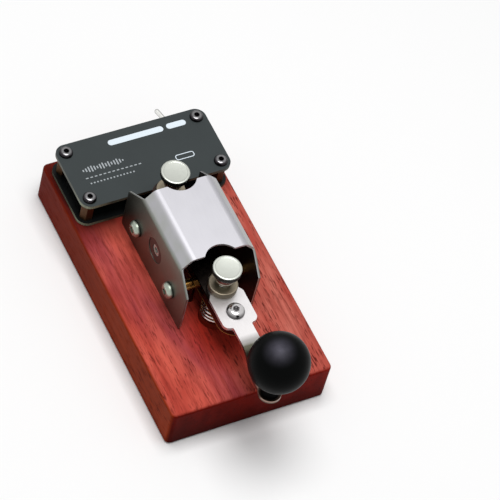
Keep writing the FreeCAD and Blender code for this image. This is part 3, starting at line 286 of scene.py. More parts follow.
class Finish(Builder):
    """One material: a Principled shader fed by textures that read the object's own coordinates."""

    def __init__(self, name, base, metal=0.0, rough=0.5, **settings):
        self.material = bpy.data.materials.new(name)
        self.material.use_nodes = True
        super().__init__(self.material.node_tree)
        self.shader = self.graph.nodes["Principled BSDF"]
        self.set("Base Color", (*base, 1.0))
        self.set("Metallic", metal)
        self.set("Roughness", rough)
        for socket, value in settings.items():
            self.set(socket.replace("_", " "), value)
        self.here = self.add("ShaderNodeTexCoord", {}, "Object")
        self.x, self.y, self.z = self.add("ShaderNodeSeparateXYZ", {0: self.here}).node.outputs

    def set(self, socket, value):
        match = [entry for entry in self.shader.inputs if entry.name.lower() == socket.lower()]
        if not match:
            raise RuntimeError("the shader has no socket named " + socket)
        match[0].default_value = value

    def feed(self, socket, source):
        self.graph.links.new(source, self.shader.inputs[socket])

    def paint(self, source):
        self.feed("Base Color", source)

    def roughen(self, source, middle, spread):
        self.feed("Roughness", self.span(source, to_low=middle - spread, to_high=middle + spread))

    def bump(self, height, depth, strength):
        """Bump from a height map; depth is in millimetres."""
        feeds = {"Height": height, "Distance": depth * MM, "Strength": strength}
        self.feed("Normal", self.add("ShaderNodeBump", feeds))

    def stretched(self, scale, turn=(0, 0, 0), shift=(0, 0, 0)):
        feeds = {"Vector": self.here, "Scale": scale, "Rotation": turn, "Location": shift}
        return self.add("ShaderNodeMapping", feeds)

    def noise(self, feature, detail=2.0, rough=0.5, where=None, twist=0.0):
        """Noise whose blotches are about feature millimetres across."""
        feeds = {"Vector": where or self.here, "Scale": 1 / (feature * MM)}
        feeds.update({"Detail": detail, "Roughness": rough, "Distortion": twist})
        return self.add("ShaderNodeTexNoise", feeds, "Fac")

    def blend(self, factor, first, second, way="MIX"):
        """Mixes two colours, each a tint or an output; a colour mix keeps them at inputs 6 and 7."""
        feeds = {0: factor}
        for index, value in ((6, first), (7, second)):
            feeds[index] = value if isinstance(value, bpy.types.NodeSocket) else (*value[:3], 1.0)
        return self.add("ShaderNodeMix", feeds, 2, data_type="RGBA", blend_type=way)

    def mottled(self, source, base, share, low=NOISE_LOW, high=NOISE_HIGH, most=1.0):
        """A tint that a texture takes towards a share of itself."""
        return self.blend(self.span(source, low, high, 0.0, most), base, dark(base, share))

    def lined(self, lines):
        """How strongly fine lines show on a brushed face."""
        return self.span(lines, 0.35, 0.65, 0.0, 0.3)

    def away(self, point, where=None):
        """Distance from a point."""
        feeds = {0: where or self.here, 1: point}
        return self.add("ShaderNodeVectorMath", feeds, "Value", operation="DISTANCE")

    def aside(self, axis):
        """Distance from an upright axis."""
        flat = self.add("ShaderNodeVectorMath", {0: self.here, 1: (1, 1, 0)}, operation="MULTIPLY")
        return self.away(axis, flat)

    def upright(self, low, high, skin):
        """1 between two levels, falling to 0 within a thin skin at both."""
        return self.times(self.span(self.z, low, low + skin), self.span(self.z, high, high - skin))


# Building finishes


def wood_top(made):
    """Top of the block: soft clouds, a dark slanting band, painted shade round the lever's front and a
    painted shadow beside the module.
    """
    tone = colours()
    clouds = made.noise(20, 3, 0.5, made.stretched((1, 0.35, 1)), 0.6)
    ribbons = made.noise(9, 3, 0.55, made.stretched((1, 0.22, 1), shift=(0.31, 0.12, 0)), 0.8)
    pale_start = -8 * MM
    pale_full = 26 * MM
    top = made.blend(made.span(made.x, pale_start, pale_full), tone.wood_bright, tone.wood_pale)
    top = made.blend(made.span(clouds, 0.42, 0.62, 0.0, 0.7), top, tone.wood_middle)

    band_place = -27 * MM
    band_slant = 0.28
    band_core = 2 * MM
    band_reach = 11 * MM
    band_sway = 6 * MM
    sway = made.span(clouds, 0.2, 0.8, -band_sway, band_sway)
    slant = made.plus(made.plus(made.x, made.times(made.y, band_slant)), sway)
    band = made.span(made.gap(slant, band_place), band_reach, band_core)
    band = made.times(band, made.span(ribbons, 0.3, 0.6, 0.4, 0.85))
    top = made.blend(band, top, tone.wood_dark)

    # Painted shade: an oval of saturated dark red under the lever's front, the arm and the spring
    lever_shade_x = -2 * MM
    lever_shade_y = -32 * MM
    lever_shade_width = 13 * MM
    lever_shade_length = 20 * MM
    sideways = made.maths("DIVIDE", made.minus(made.x, lever_shade_x), lever_shade_width)
    along = made.maths("DIVIDE", made.minus(made.y, lever_shade_y), lever_shade_length)
    spread = made.plus(made.times(sideways, sideways), made.times(along, along))
    top = made.blend(made.span(spread, 0.2, 1.5, 0.8, 0.0), top, tone.wood_lever_shade)

    # Painted shadow of the module on the rear left of the top
    module_shadow_start = 17 * MM
    module_shadow_full = 29 * MM
    module_shadow_side = 10 * MM
    rear = made.span(made.y, module_shadow_start, module_shadow_full, 0.0, 0.9)
    top = made.blend(made.times(rear, made.span(made.x, module_shadow_side, -module_shadow_side)), top, tone.wood_module_shadow)
    return made.blend(made.span(ribbons, 0.5, 0.72, 0.0, 0.5), top, tone.wood_middle)


def wood_flank(made, low, high):
    """Sides of the block with long clouds and painted shade towards the rear, and its front and back with
    painted shade towards the bottom and the left.
    """
    tone = colours()
    streams = made.noise(7, 4, 0.6, made.stretched((1, 0.12, 1.6)))
    side = made.mottled(streams, tone.wood_side, 0.5, 0.35, 0.65, 0.6)
    # Painted shade: the sides darken towards the rear
    shade_start = -20 * MM
    side = made.blend(made.span(made.y, shade_start, high.y, 0.0, 0.85), side, dark(tone.wood_end, 0.6))
    rings = made.noise(5, 3, 0.6, made.stretched((0.8, 1, 0.5)))
    end = made.mottled(rings, tone.wood_end, 0.55, 0.35, 0.65, 0.7)
    # Painted shade: the front and back darken towards the bottom and the left, with full brightness along a
    # lit top edge
    lit_edge = 3 * MM
    height_shade = made.span(made.z, low.z, high.z - lit_edge, 0.35, 1.0)
    level = made.times(height_shade, made.span(made.x, low.x, high.x, 0.7, 1.25))
    end = made.blend(1.0, end, made.vector(level, level, level), "MULTIPLY")
    half = (high.y - low.y) / 2
    turn_start = half - 1.6 * MM
    turn_end = half - 0.4 * MM
    off_middle = made.gap(made.y, (low.y + high.y) / 2)
    return made.blend(made.span(off_middle, turn_start, turn_end), side, end)


def varnished_wood():
    """Red wood under satin varnish, with fine streaks and short pores along its grain."""
    tone = colours()
    low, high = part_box("base_block")
    made = Finish("varnished_wood", tone.wood_middle, rough=0.4, specular_ior_level=0.012)
    streaks = made.noise(1.2, 4, 0.65, made.stretched((1, 0.07, 0.5)), 0.3)
    pores = made.noise(0.6, 2, 0.55, made.stretched((1, 0.11, 0.6), turn=(0, 0, 0.06)))
    beds = made.noise(8, 2, 0.5, made.stretched((1, 0.3, 1), shift=(0.07, 0.4, 0)))
    streaked = made.span(streaks, 0.44, 0.66, 0.0, 0.5)
    top = made.blend(streaked, wood_top(made), dark(tone.wood_middle, 0.5))
    edge_foot = high.z - 1.1 * MM
    edge_top = high.z - 0.25 * MM
    wood = made.blend(made.span(made.z, edge_foot, edge_top), wood_flank(made, low, high), top)
    hollow = made.times(made.span(pores, 0.55, 0.64), made.span(beds, 0.35, 0.6, 0.35, 1.0))
    # Pores show most on the right and at the front
    right = made.span(made.x, -14 * MM, 12 * MM, 0.35, 0.85)
    front = made.span(made.y, -8 * MM, -42 * MM, 0.35, 0.75)
    open_grain = made.times(hollow, made.maths("MAXIMUM", right, front))
    made.paint(made.blend(open_grain, wood, tone.wood_pore))
    made.feed("Roughness", made.span(pores, 0.5, 0.75, 0.36, 0.6))
    made.bump(made.minus(streaks, hollow), 0.05, 0.4)
    return made.material


def cover_finish():
    """Bent sheet: satin outside, with painted shade on its slopes, on its walls (deepest towards the rear)
    and on its inside.
    """
    tone = colours()
    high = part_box("cover")[1]
    made = Finish("cover_satin", tone.cover, metal=1.0, rough=0.44)
    sheet = 1.0 * MM
    top_half = 11.9 * MM
    wall_top = 50.2 * MM
    across = made.maths("ABSOLUTE", made.x)
    slope = Vector((high.z - wall_top, high.x - top_half)).normalized()
    leaning = made.plus(made.times(across, slope.x), made.times(made.z, slope.y))
    slope_skin = slope.x * top_half + slope.y * high.z
    # Painted shade on the cover's inner faces
    inside = 1.0
    for place, skin in ((leaning, slope_skin), (made.z, high.z), (across, high.x)):
        inside = made.times(inside, made.span(place, skin - 0.9 * sheet, skin - 0.96 * sheet))
    wall = made.span(across, high.x - 0.9 * sheet, high.x - 0.06 * sheet)
    lines = made.noise(0.3, 2, 0.5, made.stretched((1, 0.05, 1)))
    clouds = made.noise(9, 3, 0.5)
    # Painted shade on the slopes beside the top
    bend = 1.2 * MM
    face = made.blend(made.span(across, top_half, top_half + bend), tone.cover, tone.cover_slope_shade)
    face = made.blend(made.span(clouds), face, dark(tone.cover, 0.97))
    face = made.blend(made.lined(lines), face, dark(tone.cover, 0.9))
    # Painted shade on the upright walls, deepening towards the rear
    walls = made.mottled(clouds, tone.cover_wall_shade, 0.88)
    shade_start = -6 * MM
    walls = made.blend(made.span(made.y, shade_start, high.y, 0.0, 0.75), walls, tone.inner_shade)
    made.paint(made.blend(inside, made.blend(wall, face, walls), tone.inner_shade))
    gloss = made.span(clouds, to_low=0.41, to_high=0.47)
    made.feed("Roughness", made.minus(gloss, made.times(wall, 0.06)))
    made.bump(lines, 0.005, 0.5)
    return made.material


def wall_shade_ring(made):
    """Painted shade: a dark ring where the side screws' heads meet the cover's walls."""
    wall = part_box("cover")[1].x
    full = 0.4 * MM
    end = 1.2 * MM
    return made.span(made.maths("ABSOLUTE", made.x), wall + end, wall + full)


def rim_and_socket_shade(made):
    """Painted shade: a dark ring at the rim of the arm screw's head, and a dark socket."""
    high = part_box("arm_screw")[1].z
    rim = half_width("arm_screw")
    socket = 1.2 * MM
    edge = 0.16 * MM
    away = made.aside(axis_of("arm_screw")[0])
    depth = made.span(made.z, high - 0.5 * MM, high - 0.15 * MM, 0.92, 0.0)
    hole = made.times(made.span(away, socket + edge, socket), depth)
    return made.maths("MAXIMUM", made.span(away, rim * 0.72, rim * 0.98, 0.0, 0.9), hole)


def arm_finish():
    """Bent strip: bright where it is flat, with painted reflection and shade down its bend and, round its
    eye, a painted highlight on the rim with painted shade inside.
    """
    tone = colours()
    made = Finish("arm_satin", tone.arm, metal=1.0, rough=0.36)
    lines = made.noise(0.25, 2, 0.5, made.stretched((1, 0.08, 1)))
    clouds = made.noise(6, 3, 0.55)
    bend_start = -50.6 * MM
    bend_end = -55.4 * MM
    bend_low = 35 * MM
    bend_high = 40 * MM
    eye_start = -67 * MM
    eye_end = -69 * MM
    eye_radius = 4.8 * MM
    eye_level = 33.5 * MM
    # Painted reflection and shade: olive grey down the bend, darker at its low end
    bend = made.blend(made.span(made.z, bend_low, bend_high), tone.inner_shade, tone.arm_shade)
    # Painted highlight on the eye's rim, with painted shade inside it round the collar
    rim = made.span(made.aside(axis_of("knob_collar")[0]), eye_radius - 0.38 * MM, eye_radius)
    rim = made.times(rim, made.span(made.z, eye_level - 0.6 * MM, eye_level, 0.2, 1.0))
    eye = made.blend(rim, dark(tone.arm_rim_highlight, 0.15), tone.arm_rim_highlight)
    bend = made.blend(made.span(made.y, eye_start, eye_end), bend, eye)
    flat = made.mottled(clouds, tone.arm, 0.86)
    face = made.blend(made.span(made.y, bend_start, bend_end), flat, bend)
    made.paint(made.blend(made.lined(lines), face, (0.8, 0.8, 0.8), "MULTIPLY"))
    made.roughen(clouds, 0.36, 0.05)
    made.bump(lines, 0.006, 0.6)
    return made.material


def lever_finish():
    """Steel bar drawn dark as painted shade under the cover, with a painted brown reflection of the wood on
    its sides and a painted brassy highlight on their lower rim.
    """
    tone = colours()
    low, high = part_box("lever_bar")
    made = Finish("lever_steel", tone.lever, metal=1.0, rough=0.24)
    lines = made.noise(0.25, 2, 0.5, made.stretched((1, 0.06, 1)))
    stains = made.noise(3, 3, 0.6)
    side = made.upright(low.z, high.z, 0.1 * MM)
    rim_low = low.z + 0.5 * MM
    rim_high = low.z + 0.75 * MM
    face = made.blend(made.lined(lines), tone.lever, dark(tone.lever, 0.7))
    face = made.blend(side, face, made.mottled(stains, tone.lever_side_reflection, 0.7))
    # Painted highlight: a brassy line on the lower rim of the sides, made less metallic so that it shows
    rim = made.times(side, made.span(made.z, rim_high, rim_low))
    made.paint(made.blend(rim, face, tone.brass))
    made.feed("Metallic", made.span(rim, 0.0, 1.0, 1.0, 0.3))
    made.roughen(stains, 0.25, 0.05)
    made.bump(lines, 0.006, 0.6)
    return made.material


def turned_metal(name, base, rough, foot=None):
    """Machined and plated metal: faint mottling, very fine tool marks and, where asked, painted shade from
    a mask.
    """
    made = Finish(name, base, metal=1.0, rough=rough)
    mottle = made.noise(1.4, 4, 0.65)
    face = made.mottled(mottle, base, 0.88, 0.35)
    if foot:
        # Painted shade where the mask asks for it
        face = made.blend(foot(made), face, dark(base, 0.12))
    made.paint(face)
    made.roughen(mottle, rough, 0.05)
    made.bump(made.noise(0.18, 2, 0.5, made.stretched((1, 1, 3))), 0.004, 0.5)
    return made.material


def toggle_finish():
    """Bright plating with painted shade where the round shank curves away from view."""
    tone = colours()
    made = Finish("toggle_plating", tone.toggle, metal=1.0, rough=0.16)
    facing = made.add("ShaderNodeLayerWeight", {"Blend": 0.5}, "Facing")
    mottle = made.noise(1.4, 4, 0.65)
    face = made.mottled(mottle, tone.toggle, 0.9, 0.35)
    # Painted shade towards the shank's edges as seen from the camera
    made.paint(made.blend(made.span(facing, 0.3, 0.62), face, dark(tone.steel, 0.25)))
    made.roughen(mottle, 0.16, 0.05)
    return made.material


def neck_finish():
    """Necks of the thumb screws: a painted brown reflection of the wood round them, with one painted
    highlight band.
    """
    tone = colours()
    made = Finish("neck_rings", tone.neck, metal=1.0, rough=0.3)
    # Painted highlight: one bright band at a set drop below the head
    highlight_drop = 7.1 * MM
    off_highlight = made.gap(made.z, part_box("contact_thumb_screw")[1].z - highlight_drop)
    mottle = made.noise(1.4, 4, 0.65)
    face = made.mottled(mottle, tone.neck, 0.6, 0.35)
    made.paint(made.blend(made.span(off_highlight, 0.45 * MM, 0.2 * MM), face, tone.nickel))
    made.roughen(mottle, 0.3, 0.05)
    return made.material


def black_oxide(name, base, rough=0.3):
    """Blackened steel, a little worn to grey."""
    made = Finish(name, base, metal=1.0, rough=rough)
    made.paint(made.mottled(made.noise(0.8, 4, 0.7), base, 2.2, 0.5, 0.8, 0.5))
    made.roughen(made.noise(2.5, 3), rough, 0.06)
    return made.material


def lit_ring_heads():
    """Blackened button heads of the module, with a painted highlight ring round their sockets, painted
    shade at their rims and dark painted-shade sockets.
    """
    tone = colours()
    low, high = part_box("module_top_screws")
    centre = axis_of("module_top_screws")[0]
    head = 2.85 * MM
    socket = 1.05 * MM
    made = Finish("worn_black", tone.black_steel, metal=1.0, rough=0.22)
    ring_breakup = made.noise(0.8, 4, 0.7)
    aside = made.minus(made.gap(made.x, centre.x), (high.x - low.x) / 2 - head)
    along = made.minus(made.gap(made.y, centre.y), (high.y - low.y) / 2 - head)
    away = made.maths("SQRT", made.plus(made.times(aside, aside), made.times(along, along)))
    # Painted highlight: a pale ring round each socket, broken up by noise
    ring = made.times(made.span(away, socket, 1.3 * MM), made.span(away, 2.35 * MM, 1.7 * MM))
    ring = made.times(ring, made.span(ring_breakup, 0.3, 0.6, 0.6, 1.0))
    # Painted shade at each head's rim
    rim = made.span(away, 2.2 * MM, 2.8 * MM)
    face = made.blend(rim, tone.black_steel, dark(tone.black_steel, 0.35))
    face = made.blend(ring, face, dark(tone.steel, 0.75))
    # Painted shade in each socket
    hole = made.times(made.span(away, socket, 0.9 * MM), 0.9)
    made.paint(made.blend(hole, face, dark(tone.black_steel, 0.15)))
    made.roughen(made.noise(2.5, 3), 0.22, 0.06)
    return made.material


def moulded(name, base, rough, grain=0.35, depth=0.012, coat=0.0, gloss=0.1):
    """Moulded plastic or rubber with a fine skin texture."""
    made = Finish(name, base, rough=rough, specular_ior_level=gloss, coat_weight=coat, coat_roughness=0.12)
    skin = made.noise(grain, 3, 0.55)
    made.paint(made.mottled(made.noise(7, 2), base, 0.8))
    made.roughen(skin, rough, 0.06)
    made.bump(skin, depth, 0.7)
    return made.material


def coated_plate(name, plate_node, face_tone):
    """Lacquered plate: softly clouded faces and a woven cut edge, with a painted highlight on the edge near
    its left front corner and painted shade along the rest.
    """
    tone = colours()
    low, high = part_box(plate_node)
    made = Finish(name, face_tone, rough=0.38, specular_ior_level=0.2)
    cloud = made.noise(12, 3)
    weave = made.span(made.noise(0.5, 2, 0.6, made.stretched((1, 1, 0.2))), 0.35, 0.65)
    # Painted highlight on the cut edge near the left front corner, painted shade along the rest of the edge
    edge_highlight_core = 3 * MM
    edge_highlight_reach = 12 * MM
    from_corner = made.span(made.away(low), edge_highlight_core, edge_highlight_reach)
    bright = made.blend(from_corner, tone.plate_edge, dark(tone.plate_edge, 0.2))
    edge = made.blend(made.times(weave, 0.5), bright, dark(tone.plate_edge, 0.25))
    cut = made.upright(low.z, high.z, 0.08 * MM)
    made.paint(made.blend(cut, made.mottled(cloud, face_tone, 0.85), edge))
    made.roughen(cloud, 0.38, 0.05)
    made.bump(made.noise(0.6, 2), 0.004, 0.5)
    return made.material


def ball_finish():
    """Hard black plastic, satin, with a painted highlight on the crown; smears vary its roughness."""
    tone = colours()
    centre = axis_of("ball_knob")[0]
    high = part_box("ball_knob")[1].z
    made = Finish("ball_black", tone.ball, rough=0.3, specular_ior_level=0.03)
    # Painted highlight: a pale patch where the lamp above shows on the crown
    crown = Vector((centre.x - 2.4 * MM, centre.y - 1.0 * MM, high - 0.65 * MM))
    highlight_reach = 7.8 * MM
    highlight_core = 0.5 * MM
    smears_and_highlight = made.noise(5, 4, 0.6)
    highlight = made.span(made.away(crown), highlight_reach, highlight_core)
    highlight = made.times(highlight, made.span(smears_and_highlight, 0.3, 0.6, 0.8, 1.0))
    made.paint(made.blend(made.maths("POWER", highlight, 1.75), tone.ball, tone.ball_highlight))
    made.roughen(smears_and_highlight, 0.36, 0.03)
    made.bump(made.noise(0.5, 3), 0.003, 0.4)
    return made.material


def lamp_lens():
    """Clear-coated red lens, deeper in soft spots."""
    tone = colours()
    made = Finish("lamp_lens", tone.lens, rough=0.14, coat_weight=0.6, coat_roughness=0.05)
    depth = made.noise(1.6, 2)
    made.paint(made.mottled(depth, tone.lens, 0.55))
    made.roughen(depth, 0.14, 0.04)
    return made.material


def print_ink(name, base):
    """Matt ink with a fine grain."""
    made = Finish(name, base, rough=0.55)
    grain = made.noise(0.3, 3, 0.6)
    made.paint(made.mottled(grain, base, 0.7, 0.5, 0.8, 0.4))
    made.bump(grain, 0.004, 0.5)
    return made.material


def dress(names, material):
    """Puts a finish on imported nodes; the meshes themselves aren't touched."""
    for name in names:
        slots = node(name).material_slots
        if not slots:
            raise RuntimeError(name + " has no material slot")
        for place in slots:
            place.link = "OBJECT"
            place.material = material


# Building pieces


def piece(name, mesh, body, finish, stands_for=()):
    """A finished mesh becomes a piece of the key, at the origin, riding on its body."""
    made = bpy.data.objects.new(name, mesh)
    bpy.context.collection.objects.link(made)
    if finish is not None:
        mesh.materials.clear()
        mesh.materials.append(finish)
    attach(made, body)
    if stands_for:
        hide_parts(*stands_for)
    return made


def mesh_from(name, build):
    """A mesh made by one bmesh function, doubles merged and faces turned outward."""
    work = bmesh.new()
    build(work)
    bmesh.ops.remove_doubles(work, verts=work.verts, dist=MERGED)
    bmesh.ops.recalc_face_normals(work, faces=work.faces)
    mesh = bpy.data.meshes.new(name)
    work.to_mesh(mesh)
    work.free()
    return mesh


def bridge(work, one, two):
    """Side faces between two rings of points."""
    for step in range(len(one)):
        after = (step + 1) % len(one)
        work.faces.new((one[step], one[after], two[after], two[step]))


def closed_rings(work, rings):
    """Joins each ring to the next, and the last to the first."""
    for one, two in zip(rings, rings[1:] + rings[:1]):
        bridge(work, one, two)


def turn_profile(work, profile, centre, steps=72):
    """Spins a profile of (radius, level) points round a vertical axis."""
    rings = []
    for radius, level in profile:
        ring = []
        for step in range(steps if radius > MERGED else 1):
            turn = FULL_TURN * step / steps
            place = (centre.x + radius * math.cos(turn), centre.y + radius * math.sin(turn), level)
            ring.append(work.verts.new(place))
        rings.append(ring)
    for below, above in zip(rings, rings[1:]):
        if len(below) == len(above):
            bridge(work, below, above)
            continue
        tip, ring = sorted((below, above), key=len)
        for step in range(steps):
            work.faces.new((tip[0], ring[step], ring[(step + 1) % steps]))


def rounded(points, radius, steps=4):
    """Rounds the inner corners of a profile by short arcs, each within its share of the sides."""
    longest = 0.45
    shaped = [Vector(points[0])]
    for before, corner, after in zip(points, points[1:], points[2:]):
        corner = Vector(corner)
        one = Vector(before) - corner
        two = Vector(after) - corner
        reach = min(radius, one.length * longest, two.length * longest)
        start = corner + one.normalized() * reach
        end = corner + two.normalized() * reach
        for step in range(steps + 1):
            share = step / steps
            rest = 1 - share
            shaped.append(rest * rest * start + 2 * share * rest * corner + share * share * end)
    shaped.append(Vector(points[-1]))
    return [(point.x, point.y) for point in shaped]


def smooth(mesh, softest=35):
    """Smooth shading, with edges that turn by more than so many degrees kept crisp."""
    work = bmesh.new()
    work.from_mesh(mesh)
    limit = math.radians(softest)
    for face in work.faces:
        face.smooth = True
    for edge in work.edges:
        edge.smooth = len(edge.link_faces) == 2 and edge.calc_face_angle(0) < limit
    work.to_mesh(mesh)
    work.free()


class Tree(Builder):
    """A Geometry Nodes tree with named inputs, a finish among them."""

    def __init__(self, name, **inputs):
        super().__init__(bpy.data.node_groups.new(name, "GeometryNodeTree"))
        face = self.graph.interface
        face.new_socket("Geometry", in_out="INPUT", socket_type="NodeSocketGeometry")
        self.sockets = {}
        for label, kind in (*inputs.items(), ("Finish", "Material")):
            made = face.new_socket(label, in_out="INPUT", socket_type="NodeSocket" + kind)
            self.sockets[label] = made.identifier
        face.new_socket("Geometry", in_out="OUTPUT", socket_type="NodeSocketGeometry")
        self.given = self.graph.nodes.new("NodeGroupInput")
        self.result = self.graph.nodes.new("NodeGroupOutput")

    def add(self, kind, feeds, out=0, **settings):
        """As for any tree; a text stands for this tree's own input of that name."""
        known = {}
        for socket, value in feeds.items():
            known[socket] = self.given.outputs[value] if isinstance(value, str) else value
        return super().add(kind, known, out, **settings)

    def finish(self, geometry):
        """Every tree ends in real geometry with its finish set."""
        solid = self.add("GeometryNodeRealizeInstances", {0: geometry})
        painted = self.add("GeometryNodeSetMaterial", {"Geometry": solid, "Material": "Finish"})
        self.graph.links.new(painted, self.result.inputs[0])

    def finish_joined(self, added):
        """Ends with the given mesh and what the tree adds to it."""
        given = self.given.outputs["Geometry"]
        self.finish(self.add("GeometryNodeJoinGeometry", {0: [given, added]}))


def knurl_tree():
    """Square teeth, corner outward, in a ring round a vertical axis."""
    tree = Tree("knurled_rim", Teeth="Int", Radius="Float", Tooth="Float", Height="Float", Centre="Vector")
    tooth = tree.add("GeometryNodeMeshCube", {"Size": tree.vector("Tooth", "Tooth", "Height")})
    ring = tree.add("GeometryNodeMeshCircle", {"Vertices": "Teeth", "Radius": "Radius"})
    spacing = tree.maths("DIVIDE", FULL_TURN, "Teeth")
    turn = tree.plus(tree.times(tree.add("GeometryNodeInputIndex", {}), spacing), math.pi / 4)
    feeds = {"Points": ring, "Instance": tooth, "Rotation": tree.vector(z=turn)}
    teeth = tree.add("GeometryNodeInstanceOnPoints", feeds)
    tree.finish_joined(tree.add("GeometryNodeTransform", {"Geometry": teeth, "Translation": "Centre"}))
    return tree


def thread_tree():
    """A ridge that climbs round a vertical axis."""
    tree = Tree("screw_thread", Turns="Float", Radius="Float", Ridge="Float", Height="Float",
                Centre="Vector", Lean="Vector")
    helix = tree.add("GeometryNodeCurveSpiral", {
        "Resolution": 20, "Rotations": "Turns", "Start Radius": "Radius", "End Radius": "Radius",
        "Height": "Height", "Reverse": False,
    })
    section = tree.add("GeometryNodeCurvePrimitiveCircle", {"Resolution": 4, "Radius": "Ridge"})
    feeds = {"Curve": helix, "Profile Curve": section, "Fill Caps": True}
    ridge = tree.add("GeometryNodeCurveToMesh", feeds)
    feeds = {"Geometry": ridge, "Translation": "Centre", "Rotation": "Lean"}
    tree.finish_joined(tree.add("GeometryNodeTransform", feeds))
    return tree


def repeat_tree():
    """Copies of the given mesh at even steps along a straight line."""
    tree = Tree("even_copies", Count="Int", Step="Vector")
    line = tree.add("GeometryNodeMeshLine", {"Count": "Count", "Offset": "Step"})
    tree.finish(tree.add("GeometryNodeInstanceOnPoints", {"Points": line, "Instance": "Geometry"}))
    return tree


def row_tree():
    """The same small cylinder repeated along a straight line, beside the given mesh."""
    tree = Tree("even_row", Count="Int", Start="Vector", Step="Vector", Size="Vector", Sides="Int")
    line = tree.add("GeometryNodeMeshLine", {"Count": "Count", "Start Location": "Start", "Offset": "Step"})
    unit = tree.add("GeometryNodeMeshCylinder", {"Vertices": "Sides", "Radius": 0.5, "Depth": 1.0})
    turned = tree.add("GeometryNodeTransform", {"Geometry": unit, "Rotation": (0, 0, math.pi / 4)})
    feeds = {"Points": line, "Instance": turned, "Scale": "Size"}
    tree.finish_joined(tree.add("GeometryNodeInstanceOnPoints", feeds))
    return tree


def grown(name, mesh, steps):
    """Runs Geometry Nodes trees over a mesh and returns the result as one plain mesh."""
    holder = bpy.data.objects.new(name + "_work", mesh)
    bpy.context.collection.objects.link(holder)
    for tree, values in steps:
        modifier = holder.modifiers.new(tree.graph.name, "NODES")
        modifier.node_group = tree.graph
        for label, value in values.items():
            modifier[tree.sockets[label]] = value
    seen = holder.evaluated_get(bpy.context.evaluated_depsgraph_get())
    made = bpy.data.meshes.new_from_object(seen)
    bpy.data.objects.remove(holder)
    made.name = name
    return made


def paint_band(mesh, centre, radius, finish):
    """Gives the upright faces at one radius a finish of their own."""
    mesh.materials.append(finish)
    index = len(mesh.materials) - 1
    nearest = 0.03 * MM
    for face in mesh.polygons:
        out = (face.center - centre).to_2d().length
        if abs(face.normal.z) < 0.5 and abs(out - radius) < nearest:
            face.material_index = index


def knurl_inputs(teeth, rim, centre, low, high, finish):
    """Inputs of the ring of teeth on a rim; a tooth's outer corner lies just inside the rim."""
    size = sizes()
    middle = Vector((centre.x, centre.y, (low + high) / 2))
    return {
        "Teeth": teeth, "Radius": rim - size.tooth * TIP_SHARE, "Tooth": size.tooth,
        "Height": high - low - 2.2 * size.rim_round, "Centre": middle, "Finish": finish,
    }


def thumb_screw(source, body, finish, root_shade, collar, knurl, thread):
    """Turned head with a knurled rim, a neck and a threaded shank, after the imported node's own size."""
    size = sizes()
    centre, low, high = axis_of(source)
    rim = half_width(source)
    disc_low = high - size.thumb_disc
    neck = size.thumb_neck
    core = size.shank - size.core_gap
    side = rim - size.tooth * ROOT_SHARE
    lip = rim * 0.82
    dish = rim * 0.8
    dish_floor = high - 0.12 * MM
    profile = [(0, low), (core, low), (core, size.neck_foot), (neck, size.neck_foot), (neck, disc_low),
               (side, disc_low), (side, high), (lip, high), (dish, dish_floor), (0, dish_floor)]
    mesh = mesh_from(body, lambda work: turn_profile(work, rounded(profile, size.rim_round), centre))
    teeth = knurl_inputs(size.thumb_teeth, rim, centre, disc_low, high, finish)
    plain_tip = 0.5 * MM
    plain_foot = 0.7 * MM
    climb = size.neck_foot - low - plain_tip - plain_foot
    ridge = {
        "Turns": climb / size.pitch, "Radius": size.shank - size.thread_wire, "Ridge": size.thread_wire,
        "Height": climb, "Centre": Vector((centre.x, centre.y, low + plain_tip)), "Finish": finish,
    }
    made = grown(body, mesh, [(knurl, teeth), (thread, ridge)])
    smooth(made)
    # Painted shade in the knurl's grooves, and the necks' painted reflection
    paint_band(made, centre, side, root_shade)
    paint_band(made, centre, neck, collar)
    return piece(source + "_turned", made, body, None, (source,))


def lock_nut(source, body, finish, root_shade, knurl):
    """Round nut with a knurled rim and a chamfered bore."""
    size = sizes()
    centre, low, high = axis_of(source)
    rim = half_width(source)
    side = rim - size.tooth * ROOT_SHARE
    bore = size.nut_bore
    mouth = bore + 0.5 * MM
    chamfer = 0.4 * MM
    profile = [(mouth, low), (side, low), (side, high), (mouth, high), (bore, high - chamfer),
               (bore, low + chamfer), (mouth, low)]
    mesh = mesh_from(body, lambda work: turn_profile(work, rounded(profile, size.rim_round), centre))
    teeth = knurl_inputs(size.nut_teeth, rim, centre, low, high, finish)
    made = grown(body, mesh, [(knurl, teeth)])
    smooth(made)
    # Painted shade in the knurl's grooves
    paint_band(made, centre, side, root_shade)
    return piece(source + "_turned", made, body, None, (source,))


def round_corners(edges, corner, reach, steps):
    """Outline of a rectangle with arcs of one reach about the middles of its corners."""
    left, right, front, rear = edges
    middles = ((right - corner, rear - corner), (left + corner, rear - corner),
               (left + corner, front + corner), (right - corner, front + corner))
    outline = []
    for quarter, (x, y) in enumerate(middles):
        for step in range(steps + 1):
            turn = math.pi / 2 * (quarter + step / steps)
            outline.append((x + reach * math.cos(turn), y + reach * math.sin(turn)))
    return outline


def extruded(work, outline, depth, way):
    """A closed outline of points pulled along one way by a depth."""
    near = [work.verts.new(Vector(point)) for point in outline]
    far = [work.verts.new(Vector(point) + way * depth) for point in outline]
    work.faces.new(near)
    work.faces.new(list(reversed(far)))
    bridge(work, near, far)


def stadium(work, edges, low, high, corner, steps=8):
    """A flat rounded bar, closed on all sides."""
    outline = [(x, y, low) for x, y in round_corners(edges, corner, corner, steps)]
    extruded(work, outline, high - low, Vector((0, 0, 1)))


def outline_frame(work, edges, low, high, corner, line, steps=6):
    """A thin rounded frame, like the border of a label."""
    rings = []
    for inset, level in ((0.0, low), (0.0, high), (line, high), (line, low)):
        outline = round_corners(edges, corner, corner - inset, steps)
        rings.append([work.verts.new((x, y, level)) for x, y in outline])
    closed_rings(work, rings)


